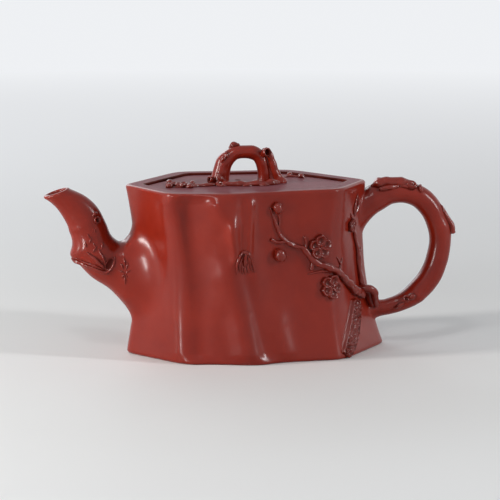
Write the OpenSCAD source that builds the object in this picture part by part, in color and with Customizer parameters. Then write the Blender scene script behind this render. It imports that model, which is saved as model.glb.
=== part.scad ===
// Tree-stump teapot in unglazed red stoneware: a hexagonal plum stump with a branch spout, a
// branch handle, an inset hexagonal lid with a twig knob, and applied plum sprigs.
// The pot rests on z = 0 with its axis on Z. The spout points to -X, the handle to +X, the sprigs
// face -Y. Each node is one piece of clay that is made by itself and luted on with slip.

/* [Stump] */
// Width of the crown across its two end corners
stump_w = 92; // [84:1:104]
// Depth of the crown from front to back
stump_d = 66; // [60:1:76]
// Height of the crown above the table
stump_h = 66; // [60:1:76]
// Thickness of the wall
wall_t = 3; // [2.4:0.1:3.6]
// Thickness of the floor slab
floor_t = 3.2; // [2.6:0.1:4.4]
// How far the wall is drawn in at the waist
waist_in = 3; // [1:0.25:4]
// Share of their full spread that the roots take at the foot
root_spread = 1; // [0.6:0.05:1.2]
// Rounding of the crown's outer arris
arris_r = 1.2; // [0.6:0.1:1.6]
// Rounding of the foot
foot_r = 1.4; // [0.6:0.1:2]

/* [Crown and lid] */
// Width of the rim that is left around the lid
rim_w = 6.5; // [6.2:0.1:8]
// Thickness of the lid slab
lid_t = 3; // [2.4:0.1:4]
// How far the lid lies below the rim
lid_drop = 0.8; // [0.4:0.1:1.4]
// Joint between the lid and the rim
lid_gap = 0.35; // [0.3:0.05:0.6]
// Width of the ledge that carries the lid
ledge_w = 3; // [2:0.1:4]
// Thickness of that ledge
ledge_t = 2.2; // [1.6:0.1:3]
// Depth of the locating flange below the lid slab
flange_h = 6; // [4:0.5:9]
// Thickness of the locating flange
flange_t = 2.4; // [1.8:0.1:3]
// Play between the flange and the ledge
flange_gap = 0.5; // [0.35:0.05:0.9]
// Bore of the vent through the lid
vent_d = 2.2; // [1.6:0.1:3]

/* [Spout] */
// Reach of the spout beyond the stump's end corner
spout_reach = 31.8; // [28:0.2:38]
// Width of the spout at its middle
spout_w = 11; // [9:0.5:13]
// Thickness of the spout's wall
spout_t = 2.1; // [1.7:0.1:2.4]
// Bore through the stump's wall behind the spout
spout_bore = 13; // [9:0.5:14]
// Height of that bore above the table
spout_bore_z = 31; // [28:0.5:34]
// How far the domed strainer stands into the pot
dome_h = 6; // [4.5:0.5:8]
// Thickness of the strainer
strainer_t = 1.6; // [1.2:0.1:2]
// Bore of each strainer hole
strainer_hole_d = 2.4; // [1.6:0.1:2.6]

/* [Handle] */
// Reach of the handle beyond the stump's end corner
handle_reach = 34.4; // [30:0.2:40]
// Thickness of the handle seen from the side
handle_t = 8.6; // [7:0.2:10]
// Width of the handle across the grip
handle_w = 8.8; // [7:0.2:10]

/* [Knob] */
// Span between the knob's feet
knob_span = 16.5; // [14:0.5:20]
// Height of the knob above the lid
knob_h = 14.5; // [12:0.5:18]
// Thickness of the knob's branch
knob_t = 4.8; // [4:0.2:5.6]

/* [Sprigs] */
// Thickness of the slip in a luted joint
slip = 0.1; // [0.05:0.01:0.15]
// Thickness of the plum branch at its root
branch_t = 3; // [2.2:0.1:3.8]
// Width of an open blossom
blossom_d = 9; // [7:0.5:11]
// Relief of an open blossom
blossom_h = 1.5; // [1:0.1:2.2]
// Width of a bud
bud_d = 4.2; // [3:0.2:5]
// Relief of the torn bark's lips
lip_h = 1.3; // [0.8:0.1:1.8]

/* [Hidden] */

clay = [0.55, 0.17, 0.12];
dark_clay = [0.42, 0.12, 0.09];
light_clay = [0.63, 0.23, 0.16];

arc_steps = 4;
// Width, depth and height of the stump that places on the wall and the lid are given for
placed_on = [92, 66, 66];
lid_top = stump_h - lid_drop;
lid_floor = lid_top - lid_t;
crown_floor = lid_floor - ledge_t;

// The eleven rails that the wall is paddled to, counter-clockwise from the spout's corner. Each has
// its place on the crown in half widths and half depths, the way it shifts by the foot, the power
// of that shift, its share of the waist and its softness.
rails = [
    [[-1.078, 0.03], [-0.8, -2.6], 1.5, 1.25, 0.07],
    [[-0.775, -0.83], [6.5, -2.9], 0.8, 0.8, 0.2],
    [[-0.52, -0.9], [5, -0.6], 1, 1, 0.42],
    [[-0.24, -1], [10, -2.8], 1, 0.5, 0.36],
    [[-0.06, -0.91], [9.5, -1], 1, 1, 0.44],
    [[0.3, -0.81], [7, -3.2], 1.3, 0.8, 0.44],
    [[0.69, -0.75], [1.2, -4.2], 2, 0.9, 0.2],
    [[1.011, -0.02], [9.3, 3.6], 2.5, 0.5, 0.08],
    [[0.47, 1], [5, 2.4], 1.6, 0.9, 0.2],
    [[-0.05, 0.98], [-4, 4], 1.2, 0.3, 0.4],
    [[-0.535, 1.03], [-3, 1], 1, 1, 0.2]];
SPOUT_CORNER = 0;
HANDLE_CORNER = 7;
// The rails whose crown points give the lid its outline
lid_rails = [0, 1, 3, 6, 7, 8, 10];

// ---- small vector helpers
function unit(v) = v / norm(v);
function mix(a, b, t) = a + (b - a) * t;
function backwards(list) = [for (i = [len(list) - 1 : -1 : 0]) list[i]];

// A smooth curve through the rows of p, each row being a point with any further values.
function curve(p, steps) = [
    for (i = [0 : len(p) - 2], k = [0 : steps - 1])
        let (t = k / steps, a = p[max(i - 1, 0)], b = p[i], c = p[i + 1],
            d = p[min(i + 2, len(p) - 1)])
        0.5 * (2 * b + (c - a) * t + (2 * a - 5 * b + 4 * c - d) * t ^ 2
            + (3 * b - a - 3 * c + d) * t ^ 3),
    p[len(p) - 1]];

// Moves each side of a closed outline inwards by d.
function inward(a, b) = unit([a.y - b.y, b.x - a.x]);
function inset(p, d) = let (n = len(p)) [for (i = [0 : n - 1])
    let (u = inward(p[(i + n - 1) % n], p[i]), v = inward(p[i], p[(i + 1) % n]))
    p[i] + d * (u + v) / (1 + u * v)];

// Rounds the corners of a closed outline, each by its own softness.
function soften(p, soft, steps) = let (n = len(p)) [for (i = [0 : n - 1], k = [0 : steps])
    let (t = k / steps, a = mix(p[i], p[(i + n - 1) % n], soft[i]),
        b = mix(p[i], p[(i + 1) % n], soft[i]))
    mix(mix(a, p[i], t), mix(p[i], b, t), t)];

// ---- the stump's surface
function rail_at(rail, z) =
    let (up = z / stump_h, crown = [rail[0].x * stump_w / 2, rail[0].y * stump_d / 2])
    crown - unit(crown) * waist_in * rail[3] * sin(180 * up)
    + rail[1] * root_spread * stump_w / placed_on.x * max(1 - up, 0) ^ rail[2];
function softness(rail, z) = min(rail[4] * (1.7 - 0.7 * z / stump_h), 0.47);
function outline(z, d = 0) = soften(
    inset([for (rail = rails) rail_at(rail, z)], d),
    [for (rail = rails) softness(rail, z)], arc_steps);

function crossings(loop, x) = [for (i = [0 : len(loop) - 1])
    let (a = loop[i], b = loop[(i + 1) % len(loop)])
    if ((a.x <= x) != (b.x <= x)) mix(a.y, b.y, (x - a.x) / (b.x - a.x))];
function turned(loop) = [for (p = loop) [p.y, p.x]];
function wall_y(x, z) = min(crossings(outline(z), x));
function wall_x(y, z, side) = side * max([for (x = crossings(turned(outline(z)), y)) side * x]);
end_x = [rail_at(rails[SPOUT_CORNER], stump_h).x, rail_at(rails[HANDLE_CORNER], stump_h).x];

// ---- limbs: the spout, the handle and the knob, each a row of frames along its middle
// A frame holds its centre, its way, two directions across and the half thickness along each.
function frames(rows, ref) = [for (i = [0 : len(rows) - 1])
    let (p = rows[i], q = rows[min(i + 1, len(rows) - 1)] - rows[max(i - 1, 0)],
        along = unit([q.x, q.y, q.z]), a = unit(cross(ref, along)))
    [[p.x, p.y, p.z], along, a, cross(along, a), p[3], p[4]]];
function around(frame, turn, thin = 0) = frame[0]
    + frame[2] * (frame[4] - thin) * cos(turn) + frame[3] * (frame[5] - thin) * sin(turn);
function ring(frame, sides, thin = 0) =
    [for (j = [0 : sides - 1]) around(frame, 360 * j / sides, thin)];
function frame_at(limb, s) = let (f = s * (len(limb) - 1), i = min(floor(f), len(limb) - 2))
    [for (k = [0 : 5]) mix(limb[i][k], limb[i + 1][k], f - i)];
function share_at(limb, q) =
    let (gaps = [for (frame = limb) norm(q - frame[0])], i = search(min(gaps), gaps)[0],
        past = (q - limb[i][0]) * limb[i][1], j = past > 0 ? min(i + 1, len(limb) - 1) : max(i - 1, 0))
    min(max((i + past / max(norm(limb[j][0] - limb[i][0]), 1)) / (len(limb) - 1), 0), 1);
function drop_on_limb(limb, q) = let (f = frame_at(limb, share_at(limb, q)), r = q - f[0])
    around(f, atan2(r * f[3] / f[5], r * f[2] / f[4]));
function out_of_limb(limb, s, turn) = let (f = frame_at(limb, s))
    unit(f[2] * cos(turn) / f[4] + f[3] * sin(turn) / f[5]);

// A place is [x, z] on the front of the model stump, [x, y] on its lid, and on a limb the share of
// its length with the turn about it in degrees.
function drop_on(on, q) = on == "wall" ? [q.x, wall_y(q.x, q.z), q.z]
    : on == "lid" ? [q.x, q.y, lid_top] : drop_on_limb(on, q);
function spot(on, a, b) =
    on == "wall" ? drop_on(on, [a * stump_w / placed_on.x, 0, b * stump_h / placed_on.z])
    : on == "lid" ? drop_on(on, [a * stump_w / placed_on.x, b * stump_d / placed_on.y])
    : around(frame_at(on, a), b);
function outward(on, a, b, d = 0.6) = on == "lid" ? [0, 0, 1] : on != "wall" ? out_of_limb(on, a, b)
    : unit(cross(spot(on, a + d, b) - spot(on, a - d, b), spot(on, a, b + d) - spot(on, a, b - d)));

// ---- solids from rings of points
// Every ring has as many points as the first, turning counter-clockwise about the way they go.
module skin(rings, closed = false) {
    n = len(rings[0]);
    m = len(rings);
    last = closed ? m - 1 : m - 2;
    sides = [for (i = [0 : last], j = [0 : n - 1])
        let (a = i * n + j, b = i * n + (j + 1) % n, c = ((i + 1) % m) * n)
        each [[a, c + (j + 1) % n, b], [a, c + j, c + (j + 1) % n]]];
    caps = closed ? [] : [[for (j = [0 : n - 1]) j], [for (j = [n : -1 : 1]) (m - 1) * n + j % n]];
    polyhedron([for (ring = rings) each ring], concat(sides, caps), convexity = 8);
}

module tube(limb, sides) {
    skin([for (frame = limb) ring(frame, sides)]);
}

// A half-round strip of clay laid on a surface along rows of [place, place, half width].
function strip_rings(on, rows, height = 1) =
    let (at = [for (row = rows) spot(on, row[0], row[1])])
    [for (i = [0 : len(rows) - 1])
        let (r = rows[i][2], up = outward(on, rows[i][0], rows[i][1]),
            along = unit(at[min(i + 1, len(rows) - 1)] - at[max(i - 1, 0)]),
            side = unit(cross(along, up)))
        concat([drop_on(on, at[i]) + up * slip], [for (turn = [-90 : 36 : 90])
            drop_on(on, at[i] + side * r * sin(turn)) + up * (slip + r * height * cos(turn))])];
module strip(on, rows, height = 1, steps = 2) {
    skin(strip_rings(on, curve(rows, steps), height));
}

// A round pat of clay pressed on a surface: rings of [share of the radius, lift], lobed as petals.
function lobe(turn, lobes, depth) = lobes == 0 ? 1
    : 1 - depth * (1 - abs(cos(lobes * turn / 2)) ^ 0.6);
function pat_rings(on, a, b, r, profile, sides, lobes = 0, depth = 0.25, tilt = 0) =
    let (at = spot(on, a, b), up = outward(on, a, b),
        across = unit(cross(abs(up.z) > 0.7 ? [0, -1, 0] : [0, 0, 1], up)), rise = cross(up, across))
    [for (step = concat([[0.12, 0], [0.6, 0]], profile)) [for (j = [0 : sides - 1])
        let (turn = 360 * j / sides, reach = r * step[0] * lobe(turn - tilt, lobes, depth))
        drop_on(on, at + reach * (cos(turn) * across + sin(turn) * rise)) + up * (slip + step[1])]];
module pat(on, a, b, r, profile, sides, lobes = 0, depth = 0.25, tilt = 0) {
    skin(pat_rings(on, a, b, r, profile, sides, lobes, depth, tilt));
}
// Five dished petals around a raised heart
module blossom(on, a, b, d, h, sides = 40, tilt = 0) {
    pat(on, a, b, d / 2, [[1, 0], [1, 0.45 * h], [0.86, 0.85 * h], [0.58, 0.5 * h], [0.3, 0.4 * h],
        [0.2, 0.9 * h], [0.07, h]], sides, 5, 0.3, tilt);
}
// The profile of a cut twig's ring, and of a plain swelling
function cut_ring(h) = [[1, 0], [0.95, 0.7 * h], [0.72, h], [0.42, 0.75 * h], [0.12, 0.3 * h]];
function swell(h) = [for (turn = [0 : 22 : 66]) [cos(turn), h * sin(turn)], [0.12, h]];
module bud(on, a, b, d, h) {
    pat(on, a, b, d / 2, swell(h), 12);
}

// ---- the stump
outer_levels = concat(
    [for (turn = [90 : -30 : 0]) [foot_r * (1 - sin(turn)), foot_r * (1 - cos(turn))]],
    [for (k = [1 : 8]) let (low = foot_r, high = stump_h - arris_r) [mix(low, high, k / 9), 0]],
    [for (turn = [0 : 30 : 90])
        [stump_h - arris_r * (1 - sin(turn)), arris_r * (1 - cos(turn))]]);
inner_levels = [0, floor_t, for (k = [1 : 4]) mix(floor_t, crown_floor, k / 4), stump_h];

function at_height(loop, z) = [for (p = loop) [p.x, p.y, z]];
function inner_loop(z) = outline(min(max(z, floor_t), crown_floor), wall_t);

module trunk_wall() {
    color(clay)
        difference() {
            skin(concat(
                [for (level = outer_levels) at_height(outline(level[0], level[1]), level[0])],
                [for (z = backwards(inner_levels)) at_height(inner_loop(z), z)]), true);
            translate([end_x[0] + spout_bore, 0, spout_bore_z])
                rotate([0, -90, 0])
                    cylinder(d = spout_bore, h = 2 * spout_bore, $fn = 48);
        }
}

module floor_slab() {
    color(dark_clay)
        linear_extrude(floor_t)
            polygon(inner_loop(0));
}

lid_corners = [for (i = lid_rails) rail_at(rails[i], stump_h)];
lid_soft = [for (i = lid_rails) i == 3 ? 0.3 : 0.08];
module lid_shape(d) {
    polygon(soften(inset(lid_corners, d), lid_soft, 3));
}

module crown_slab() {
    color(clay)
        difference() {
            translate([0, 0, crown_floor])
                linear_extrude(stump_h - crown_floor)
                    polygon(inner_loop(stump_h));
            translate([0, 0, lid_floor])
                linear_extrude(stump_h)
                    lid_shape(rim_w);
            translate([0, 0, crown_floor - 1])
                linear_extrude(stump_h)
                    lid_shape(rim_w + ledge_w);
        }
}

// ---- the spout
// Rows from lip to root: the underside's reach and height, the upper side's reach and height, both
// as shares of the spout's reach and the stump's height, and the half width in half spout widths.
spout_rows = [
    [0.985, 0.936, 0.694, 0.986, 0.84], [0.818, 0.87, 0.509, 0.939, 0.9],
    [0.695, 0.774, 0.352, 0.867, 1], [0.635, 0.68, 0.258, 0.779, 1.12],
    [0.62, 0.588, 0.195, 0.706, 1.28], [0.428, 0.468, 0.107, 0.667, 1.38],
    [0.189, 0.385, 0.038, 0.67, 1.52], [0.031, 0.303, -0.006, 0.691, 1.68]];
spout_sides = 24;
root_z = [0.225, 0.765] * stump_h;
root_half_w = 1.3 * spout_w;
lip_t = 0.71 * spout_t;

spout_limb = [for (row = curve(spout_rows, 2))
    let (low = [end_x[0] - row[0] * spout_reach, 0, row[1] * stump_h],
        top = [end_x[0] + 1.2 - row[2] * spout_reach, 0, row[3] * stump_h],
        a = unit(top - low), b = [0, -1, 0])
    [(low + top) / 2, cross(a, b), a, b, norm(top - low) / 2, row[4] * spout_w / 2]];
// A ring that lies on the stump's wall about height z
function seat_ring(side, z, half_h, half_w, sides, way = 1) =
    [for (j = [0 : sides - 1])
        let (turn = 360 * j / sides, y = -way * half_w * sin(turn), h = z + half_h * cos(turn))
        [wall_x(y, h, side) + side * slip, y, h]];

module spout() {
    n = len(spout_limb);
    seat = [for (k = [0 : 3]) let (t = k / 3)
        seat_ring(-1, mix((root_z[0] + root_z[1]) / 2, spout_bore_z, t),
            mix((root_z[1] - root_z[0]) / 2, spout_bore / 2, t),
            mix(root_half_w, spout_bore / 2, t), spout_sides)];
    color(clay)
        skin(concat(
            [for (frame = spout_limb) ring(frame, spout_sides)],
            seat,
            [for (i = [n - 2 : -1 : 1]) ring(spout_limb[i], spout_sides, spout_t)],
            [ring(spout_limb[0], spout_sides, lip_t)]), true);
}

// A fold of bark around the front of the elbow, ending in a hollow where a side shoot broke off
module spout_collar() {
    color(clay) {
        strip(spout_limb, [[0.58, 200, 0.7], [0.58, 170, 1.1], [0.62, 135, 1], [0.68, 100, 0.9],
            [0.71, 70, 0.7], [0.69, 48, 0.5]], 0.9, 4);
        pat(spout_limb, 0.5, 180, 2.4, swell(1), 12);
    }
}

// The ring left by a cut twig
module spout_knot() {
    color(dark_clay)
        pat(spout_limb, 0.36, 38, 1.7, cut_ring(0.8), 14);
}

// A thimble pushed into the bore: a collar inside the wall and a pierced dome inside the pot
module spout_strainer() {
    r = spout_bore / 2 - 0.1;
    inside = r - strainer_t;
    dome = [for (turn = [0 : 15 : 90]) [cos(turn), sin(turn)]];
    color(dark_clay)
        translate([wall_x(0, spout_bore_z, -1) + 2 * wall_t, 0, spout_bore_z])
            rotate([0, 90, 0])
                difference() {
                    rotate_extrude($fn = 64)
                        polygon(concat(
                            [[inside, -wall_t - 1], [r, -wall_t - 1]],
                            [for (p = dome) [r * p.x, dome_h * p.y]],
                            [for (p = backwards(dome)) [inside * p.x, (dome_h - strainer_t) * p.y]]));
                    cylinder(d = strainer_hole_d, h = 2 * dome_h, $fn = 24);
                    for (k = [0 : 5])
                        rotate([0, 45, 60 * k])
                            translate([0, 0, inside / 2])
                                cylinder(d = strainer_hole_d, h = 2 * dome_h, $fn = 24);
                }
}

// ---- the handle
// Rows of reach and height, as shares of the handle's reach and the stump's height, with the
// thickness as a share of the handle's own.
handle_rows = [
    [0.088, 0.883, 1.28], [0.256, 0.914, 1.08], [0.434, 0.916, 0.98], [0.605, 0.886, 1.02],
    [0.736, 0.82, 1.02], [0.82, 0.725, 0.98], [0.857, 0.621, 1], [0.817, 0.497, 1.02],
    [0.722, 0.388, 1.04], [0.558, 0.298, 0.96], [0.392, 0.248, 0.8], [0.245, 0.225, 0.74]];
handle_sides = 16;
handle_limb = frames([for (row = curve(handle_rows, 2))
    [end_x[1] + row[0] * handle_reach, 0, row[1] * stump_h,
        row[2] * handle_t / 2, row[2] * handle_w / 2]], [0, 1, 0]);
handle_root_z = [0.806, 0.22] * stump_h;
handle_root_r = [1.05, 0.8, 0.56] * handle_t;

module handle() {
    shrink = [1, 0.7, 0.4, 0.08];
    color(clay)
        skin(concat(
            [for (s = backwards(shrink)) seat_ring(1, handle_root_z[0], -handle_root_r[0] * s,
                handle_root_r[1] * s, handle_sides, -1)],
            [for (frame = handle_limb) ring(frame, handle_sides)],
            [for (s = shrink) seat_ring(1, handle_root_z[1], handle_root_r[2] * s,
                handle_root_r[2] * s, handle_sides, -1)]));
}

// A cut side branch that lies along the top of the handle and ends in a hollow ring
module handle_top_knot() {
    color(clay) {
        strip(handle_limb, [[0.04, 193, 1.2], [0.06, 196, 2.1], [0.1, 200, 1.7], [0.15, 204, 1.8],
            [0.18, 206, 2]], 1.1, 5);
        pat(handle_limb, 0.225, 208, 2.1, cut_ring(1.4), 14);
    }
}

// A broken side shoot half way down
module handle_side_stub() {
    color(clay) {
        strip(handle_limb, [[0.37, 208, 0.5], [0.405, 208, 1], [0.435, 208, 1.4]], 1.1);
        pat(handle_limb, 0.5, 205, 1.9, cut_ring(1.5), 14);
    }
}

module handle_lower_knot() {
    color(dark_clay) {
        pat(handle_limb, 0.86, 285, 1.8, cut_ring(0.7), 14);
        pat(handle_limb, 0.8, 235, 1.6, swell(0.8), 10);
    }
}

// A thin root that leaves the wall and bends down into the foot of the handle
root_r = 1.4;
module root_loop() {
    x = end_x[1];
    path = [[x - 5, -7.4, 24.8], [x - 2.4, -9, 25], [x + 0.4, -9, 24.6], [x + 2, -7.8, 22.6],
        [x + 2.8, -5.6, 19.8], [x + 3.6, -3.2, 17.2]];
    color(clay)
        tube(frames([for (p = curve(path, 2)) [p.x, p.y, p.z * stump_h / placed_on.z, root_r, root_r]],
            [0.3, 0.9, 0.3]), 10);
}

// ---- the plum sprigs on the wall
module plum_branch() {
    r = branch_t / 2;
    color(clay)
        strip("wall", [[40.9, 23, 0.95 * r], [38.3, 24.6, 0.95 * r], [34.5, 28.8, 0.9 * r],
            [29.5, 33.9, 0.78 * r], [25.2, 36.2, 0.7 * r], [21.2, 38, 0.66 * r],
            [18.5, 41.2, 0.6 * r], [16.4, 43.6, 0.56 * r], [13.2, 44.6, 0.52 * r],
            [10, 46.3, 0.46 * r], [7.3, 49.2, 0.4 * r], [5.7, 53.2, 0.34 * r],
            [3.4, 59.4, 0.22 * r]], 1, 4);
}

// Side twigs, each from the branch to its tip
module plum_twigs() {
    color(clay) {
        strip("wall", [[9.6, 46.8, 0.6], [6.6, 46.4, 0.55], [3.4, 47.5, 0.3]]);
        strip("wall", [[17.8, 43.2, 0.6], [17.6, 45.4, 0.5], [16.9, 48, 0.3]]);
        strip("wall", [[31.2, 33.4, 0.6], [31.6, 36.2, 0.5], [30.7, 39.2, 0.3]]);
        strip("wall", [[27.6, 33.8, 0.6], [24, 34.6, 0.5], [19, 33.6, 0.3]]);
    }
}

module blossom_upper() {
    color(light_clay)
        blossom("wall", 23.4, 44.2, blossom_d, blossom_h, 40, 18);
}
module blossom_lower() {
    color(light_clay)
        blossom("wall", 27.8, 27.6, blossom_d, blossom_h, 40, -10);
}
module bud_top() {
    color(light_clay) {
        strip("wall", [[6.9, 52, 0.45], [7.3, 55, 0.4], [6.4, 58, 0.35]]);
        bud("wall", 6, 60, bud_d * 0.9, bud_d / 2);
    }
}
module bud_ball() {
    color(light_clay)
        bud("wall", 7.3, 41.4, bud_d * 1.1, bud_d / 2);
}

// A long scar by the handle's foot where a limb was torn off: two lips of bark round a rough floor
lips = [[-1, 0.1], [-0.86, 0.9], [-0.68, 1], [-0.52, 0.35], [-0.2, 0.3], [0.1, 0.6], [0.4, 0.3],
    [0.62, 0.9], [0.8, 1], [1, 0.1]];
module bark_hollow() {
    rows = curve([[40.6, 20.6, 1.6], [39.9, 18.5, 4.2], [38.4, 13.5, 5.4], [36.6, 8, 5.2],
        [34.8, 4, 4.2], [33.8, 2.2, 3]], 3);
    at = [for (row = rows) spot("wall", row[0], row[1])];
    last = len(rows) - 1;
    color(dark_clay)
        skin([for (i = [0 : last])
            let (up = outward("wall", rows[i][0], rows[i][1]),
                side = unit(cross(unit(at[min(i + 1, last)] - at[max(i - 1, 0)]), up)),
                relief = lip_h * min(1, rows[i][2] / 4))
            concat([for (back = [0, -0.5]) drop_on("wall", at[i] + side * rows[i][2] * back) + up * slip],
                [for (lip = lips) drop_on("wall", at[i] + side * rows[i][2] * lip[0])
                    + up * (slip + relief * lip[1])],
                [drop_on("wall", at[i] + side * rows[i][2] * 0.5) + up * slip])]);
}

module side_branch() {
    color(clay)
        strip("wall", [[42.4, 28.4, 1], [41.5, 34, 1], [40, 43, 0.85], [38.8, 48.4, 0.7],
            [37.4, 54, 0.4]]);
}
module side_blossom() {
    color(light_clay)
        blossom("wall", 37.2, 49.6, blossom_d * 0.62, blossom_h * 0.8, 30, 0);
}
// A narrow leaf-shaped scar under the crown
module side_scar() {
    color(dark_clay)
        strip("wall", [[40.9, 61, 0.4], [40.4, 58.4, 1.3], [39.9, 56, 1.4], [39.5, 53.4, 0.5]], 0.5);
}

// ---- the lid
module lid_slab() {
    color(clay)
        difference() {
            translate([0, 0, lid_floor])
                linear_extrude(lid_t)
                    lid_shape(rim_w + lid_gap);
            translate(concat(vent_at, lid_floor - 1))
                cylinder(d = vent_d, h = lid_t + 2, $fn = 24);
        }
}

// The six-sided ring that keeps the lid from sliding and turning
module lid_flange() {
    out = rim_w + ledge_w + flange_gap;
    color(dark_clay)
        translate([0, 0, lid_floor - flange_h])
            linear_extrude(flange_h)
                difference() {
                    lid_shape(out);
                    lid_shape(out + flange_t);
                }
}

// A thick twig bent over into an arch, wide at its left foot
knob_mid = [-3, 2];
vent_at = [knob_mid.x, knob_mid.y + 9];
left_foot = knob_mid.x - knob_span / 2;
knob_rows = [[-0.5, 0, 1.35], [-0.45, 0.28, 1.2], [-0.34, 0.6, 1.08], [-0.13, 0.81, 0.98],
    [0.15, 0.84, 0.98], [0.38, 0.72, 0.96], [0.48, 0.35, 0.85], [0.5, 0, 1]];
knob_limb = let (half = knob_t / 2) frames([for (row = curve(knob_rows, 2))
    [knob_mid.x + row[0] * knob_span, knob_mid.y, lid_top + row[1] * knob_h,
        row[2] * half, row[2] * half]], [0, 1, 0]);
knob_sides = 14;

module knob() {
    feet = len(knob_limb) - 1;
    color(clay)
        skin([for (i = [0 : feet]) [for (p = ring(knob_limb[i], knob_sides))
            i == 0 || i == feet ? [p.x, p.y, lid_top] : p]]);
}

// A second root that runs down outside the right foot
module knob_root() {
    x = knob_mid.x + knob_span / 2;
    rows = [[x + 0.6, 0.84, 0.9], [x + 2.9, 0.62, 1.15], [x + 4, 0.34, 1.2], [x + 5.6, 0.1, 1.5],
        [x + 6, 0, 1.7]];
    limb = frames([for (row = curve(rows, 2))
        [row[0], knob_mid.y - 0.6, lid_top + row[1] * knob_h, row[2], row[2]]], [0, 1, 0]);
    color(clay)
        skin([for (i = [0 : len(limb) - 1]) [for (p = ring(limb[i], 10))
            i == len(limb) - 1 ? [p.x, p.y, lid_top] : p]]);
}

module knob_bump() {
    color(clay) {
        pat(knob_limb, 0.44, 215, 1.9, swell(1.6), 12);
        pat(knob_limb, 0.66, 215, 1.4, cut_ring(0.9), 12);
    }
}

// A leaf scale and a cut ring at the left foot
module knob_leaf() {
    color(clay) {
        pat("lid", left_foot - 1.5, knob_mid.y - 5.2, 1.9, cut_ring(1.6), 12);
        pat("lid", left_foot - 5.4, knob_mid.y - 2, 1.4, cut_ring(1.1), 12);
    }
}

module lid_branch() {
    color(clay) {
        strip("lid", [for (row = [[3.5, -3.4, 0.9], [6.7, -4.2, 0.75], [10.2, -3.4, 0.65],
            [14.2, -2, 0.5], [17.7, 1.5, 0.35]]) [left_foot - row[0], row[1], row[2]]]);
        strip("lid", [for (row = [[9.8, -3.6, 0.55], [13.8, -6.2, 0.5], [17.7, -6.6, 0.3]])
            [left_foot - row[0], row[1], row[2]]]);
        strip("lid", [[14, 14, 0.3], [18.5, 16, 0.5], [23, 14.5, 0.3]]);
    }
}

// A low root that runs along the lid between the knob's feet
module lid_ridge() {
    color(clay)
        strip("lid", [[-9, -4.6, 0.9], [-5, -5.4, 1], [1, -5.8, 0.9], [6, -5, 1], [10, -3.6, 0.5]]);
}

module lid_blossoms() {
    color(light_clay) {
        blossom("lid", left_foot - 15.9, -4.4, blossom_d * 0.62, blossom_h * 0.9, 30, 20);
        blossom("lid", left_foot - 19.4, -1.6, blossom_d * 0.5, blossom_h * 0.8, 30, 0);
    }
}
module lid_buds() {
    color(light_clay)
        for (at = [[left_foot - 19.8, 3.4], [left_foot - 11.2, -0.4], [left_foot - 13.2, -7.6],
            [18.8, 17.8], [22, 12.6]])
            bud("lid", at.x, at.y, bud_d * 0.62, bud_d * 0.34);
}

trunk_wall();
floor_slab();
crown_slab();
spout();
spout_strainer();
spout_collar();
spout_knot();
handle();
handle_top_knot();
handle_side_stub();
handle_lower_knot();
root_loop();
plum_branch();
plum_twigs();
blossom_upper();
blossom_lower();
bud_top();
bud_ball();
bark_hollow();
side_branch();
side_blossom();
side_scar();
lid_slab();
lid_flange();
knob();
knob_root();
knob_bump();
knob_leaf();
lid_branch();
lid_ridge();
lid_blossoms();
lid_buds();
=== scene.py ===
import math

import bmesh
import bpy
import numpy as np
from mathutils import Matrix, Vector, noise
from mathutils.bvhtree import BVHTree


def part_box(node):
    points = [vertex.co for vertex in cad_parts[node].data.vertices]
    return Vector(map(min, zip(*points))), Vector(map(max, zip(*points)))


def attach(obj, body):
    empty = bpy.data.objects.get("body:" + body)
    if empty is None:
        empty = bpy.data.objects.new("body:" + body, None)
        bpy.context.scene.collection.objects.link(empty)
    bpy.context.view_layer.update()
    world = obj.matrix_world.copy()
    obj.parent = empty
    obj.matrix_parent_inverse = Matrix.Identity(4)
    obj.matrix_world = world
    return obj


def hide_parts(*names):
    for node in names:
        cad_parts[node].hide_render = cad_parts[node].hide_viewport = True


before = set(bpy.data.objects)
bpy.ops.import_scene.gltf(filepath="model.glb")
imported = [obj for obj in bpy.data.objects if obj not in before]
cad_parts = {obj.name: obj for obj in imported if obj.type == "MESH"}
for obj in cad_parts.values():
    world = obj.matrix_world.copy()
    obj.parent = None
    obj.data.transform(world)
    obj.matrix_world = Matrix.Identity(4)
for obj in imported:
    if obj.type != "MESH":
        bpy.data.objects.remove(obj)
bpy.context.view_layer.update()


# ---- The studio ----
# A pale table top under soft boxes. The pot is seen from a little above, from the spout's side of
# its front. The room is pale to the eye and in the polish of the clay, and dim as a lamp.

# The pot's own sizes are in mm in every section, and this turns them to metres
MM = 0.001
LOOK_AT = Vector((0, 0, 39)) * MM
VIEW_TURN = math.radians(-9)
VIEW_RISE = math.radians(9.6)
VIEW_DISTANCE = 1.095
LENS = 201.6
SENSOR = 36

camera = bpy.data.objects.new("camera", bpy.data.cameras.new("camera"))
camera.data.lens = LENS
camera.data.sensor_width = SENSOR
camera.location = LOOK_AT + VIEW_DISTANCE * Vector((
    math.sin(VIEW_TURN) * math.cos(VIEW_RISE), -math.cos(VIEW_TURN) * math.cos(VIEW_RISE),
    math.sin(VIEW_RISE)))
camera.rotation_euler = (LOOK_AT - camera.location).to_track_quat("-Z", "Y").to_euler()
bpy.context.collection.objects.link(camera)
bpy.context.scene.camera = camera
bpy.context.scene.view_settings.view_transform = "Standard"


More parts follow.
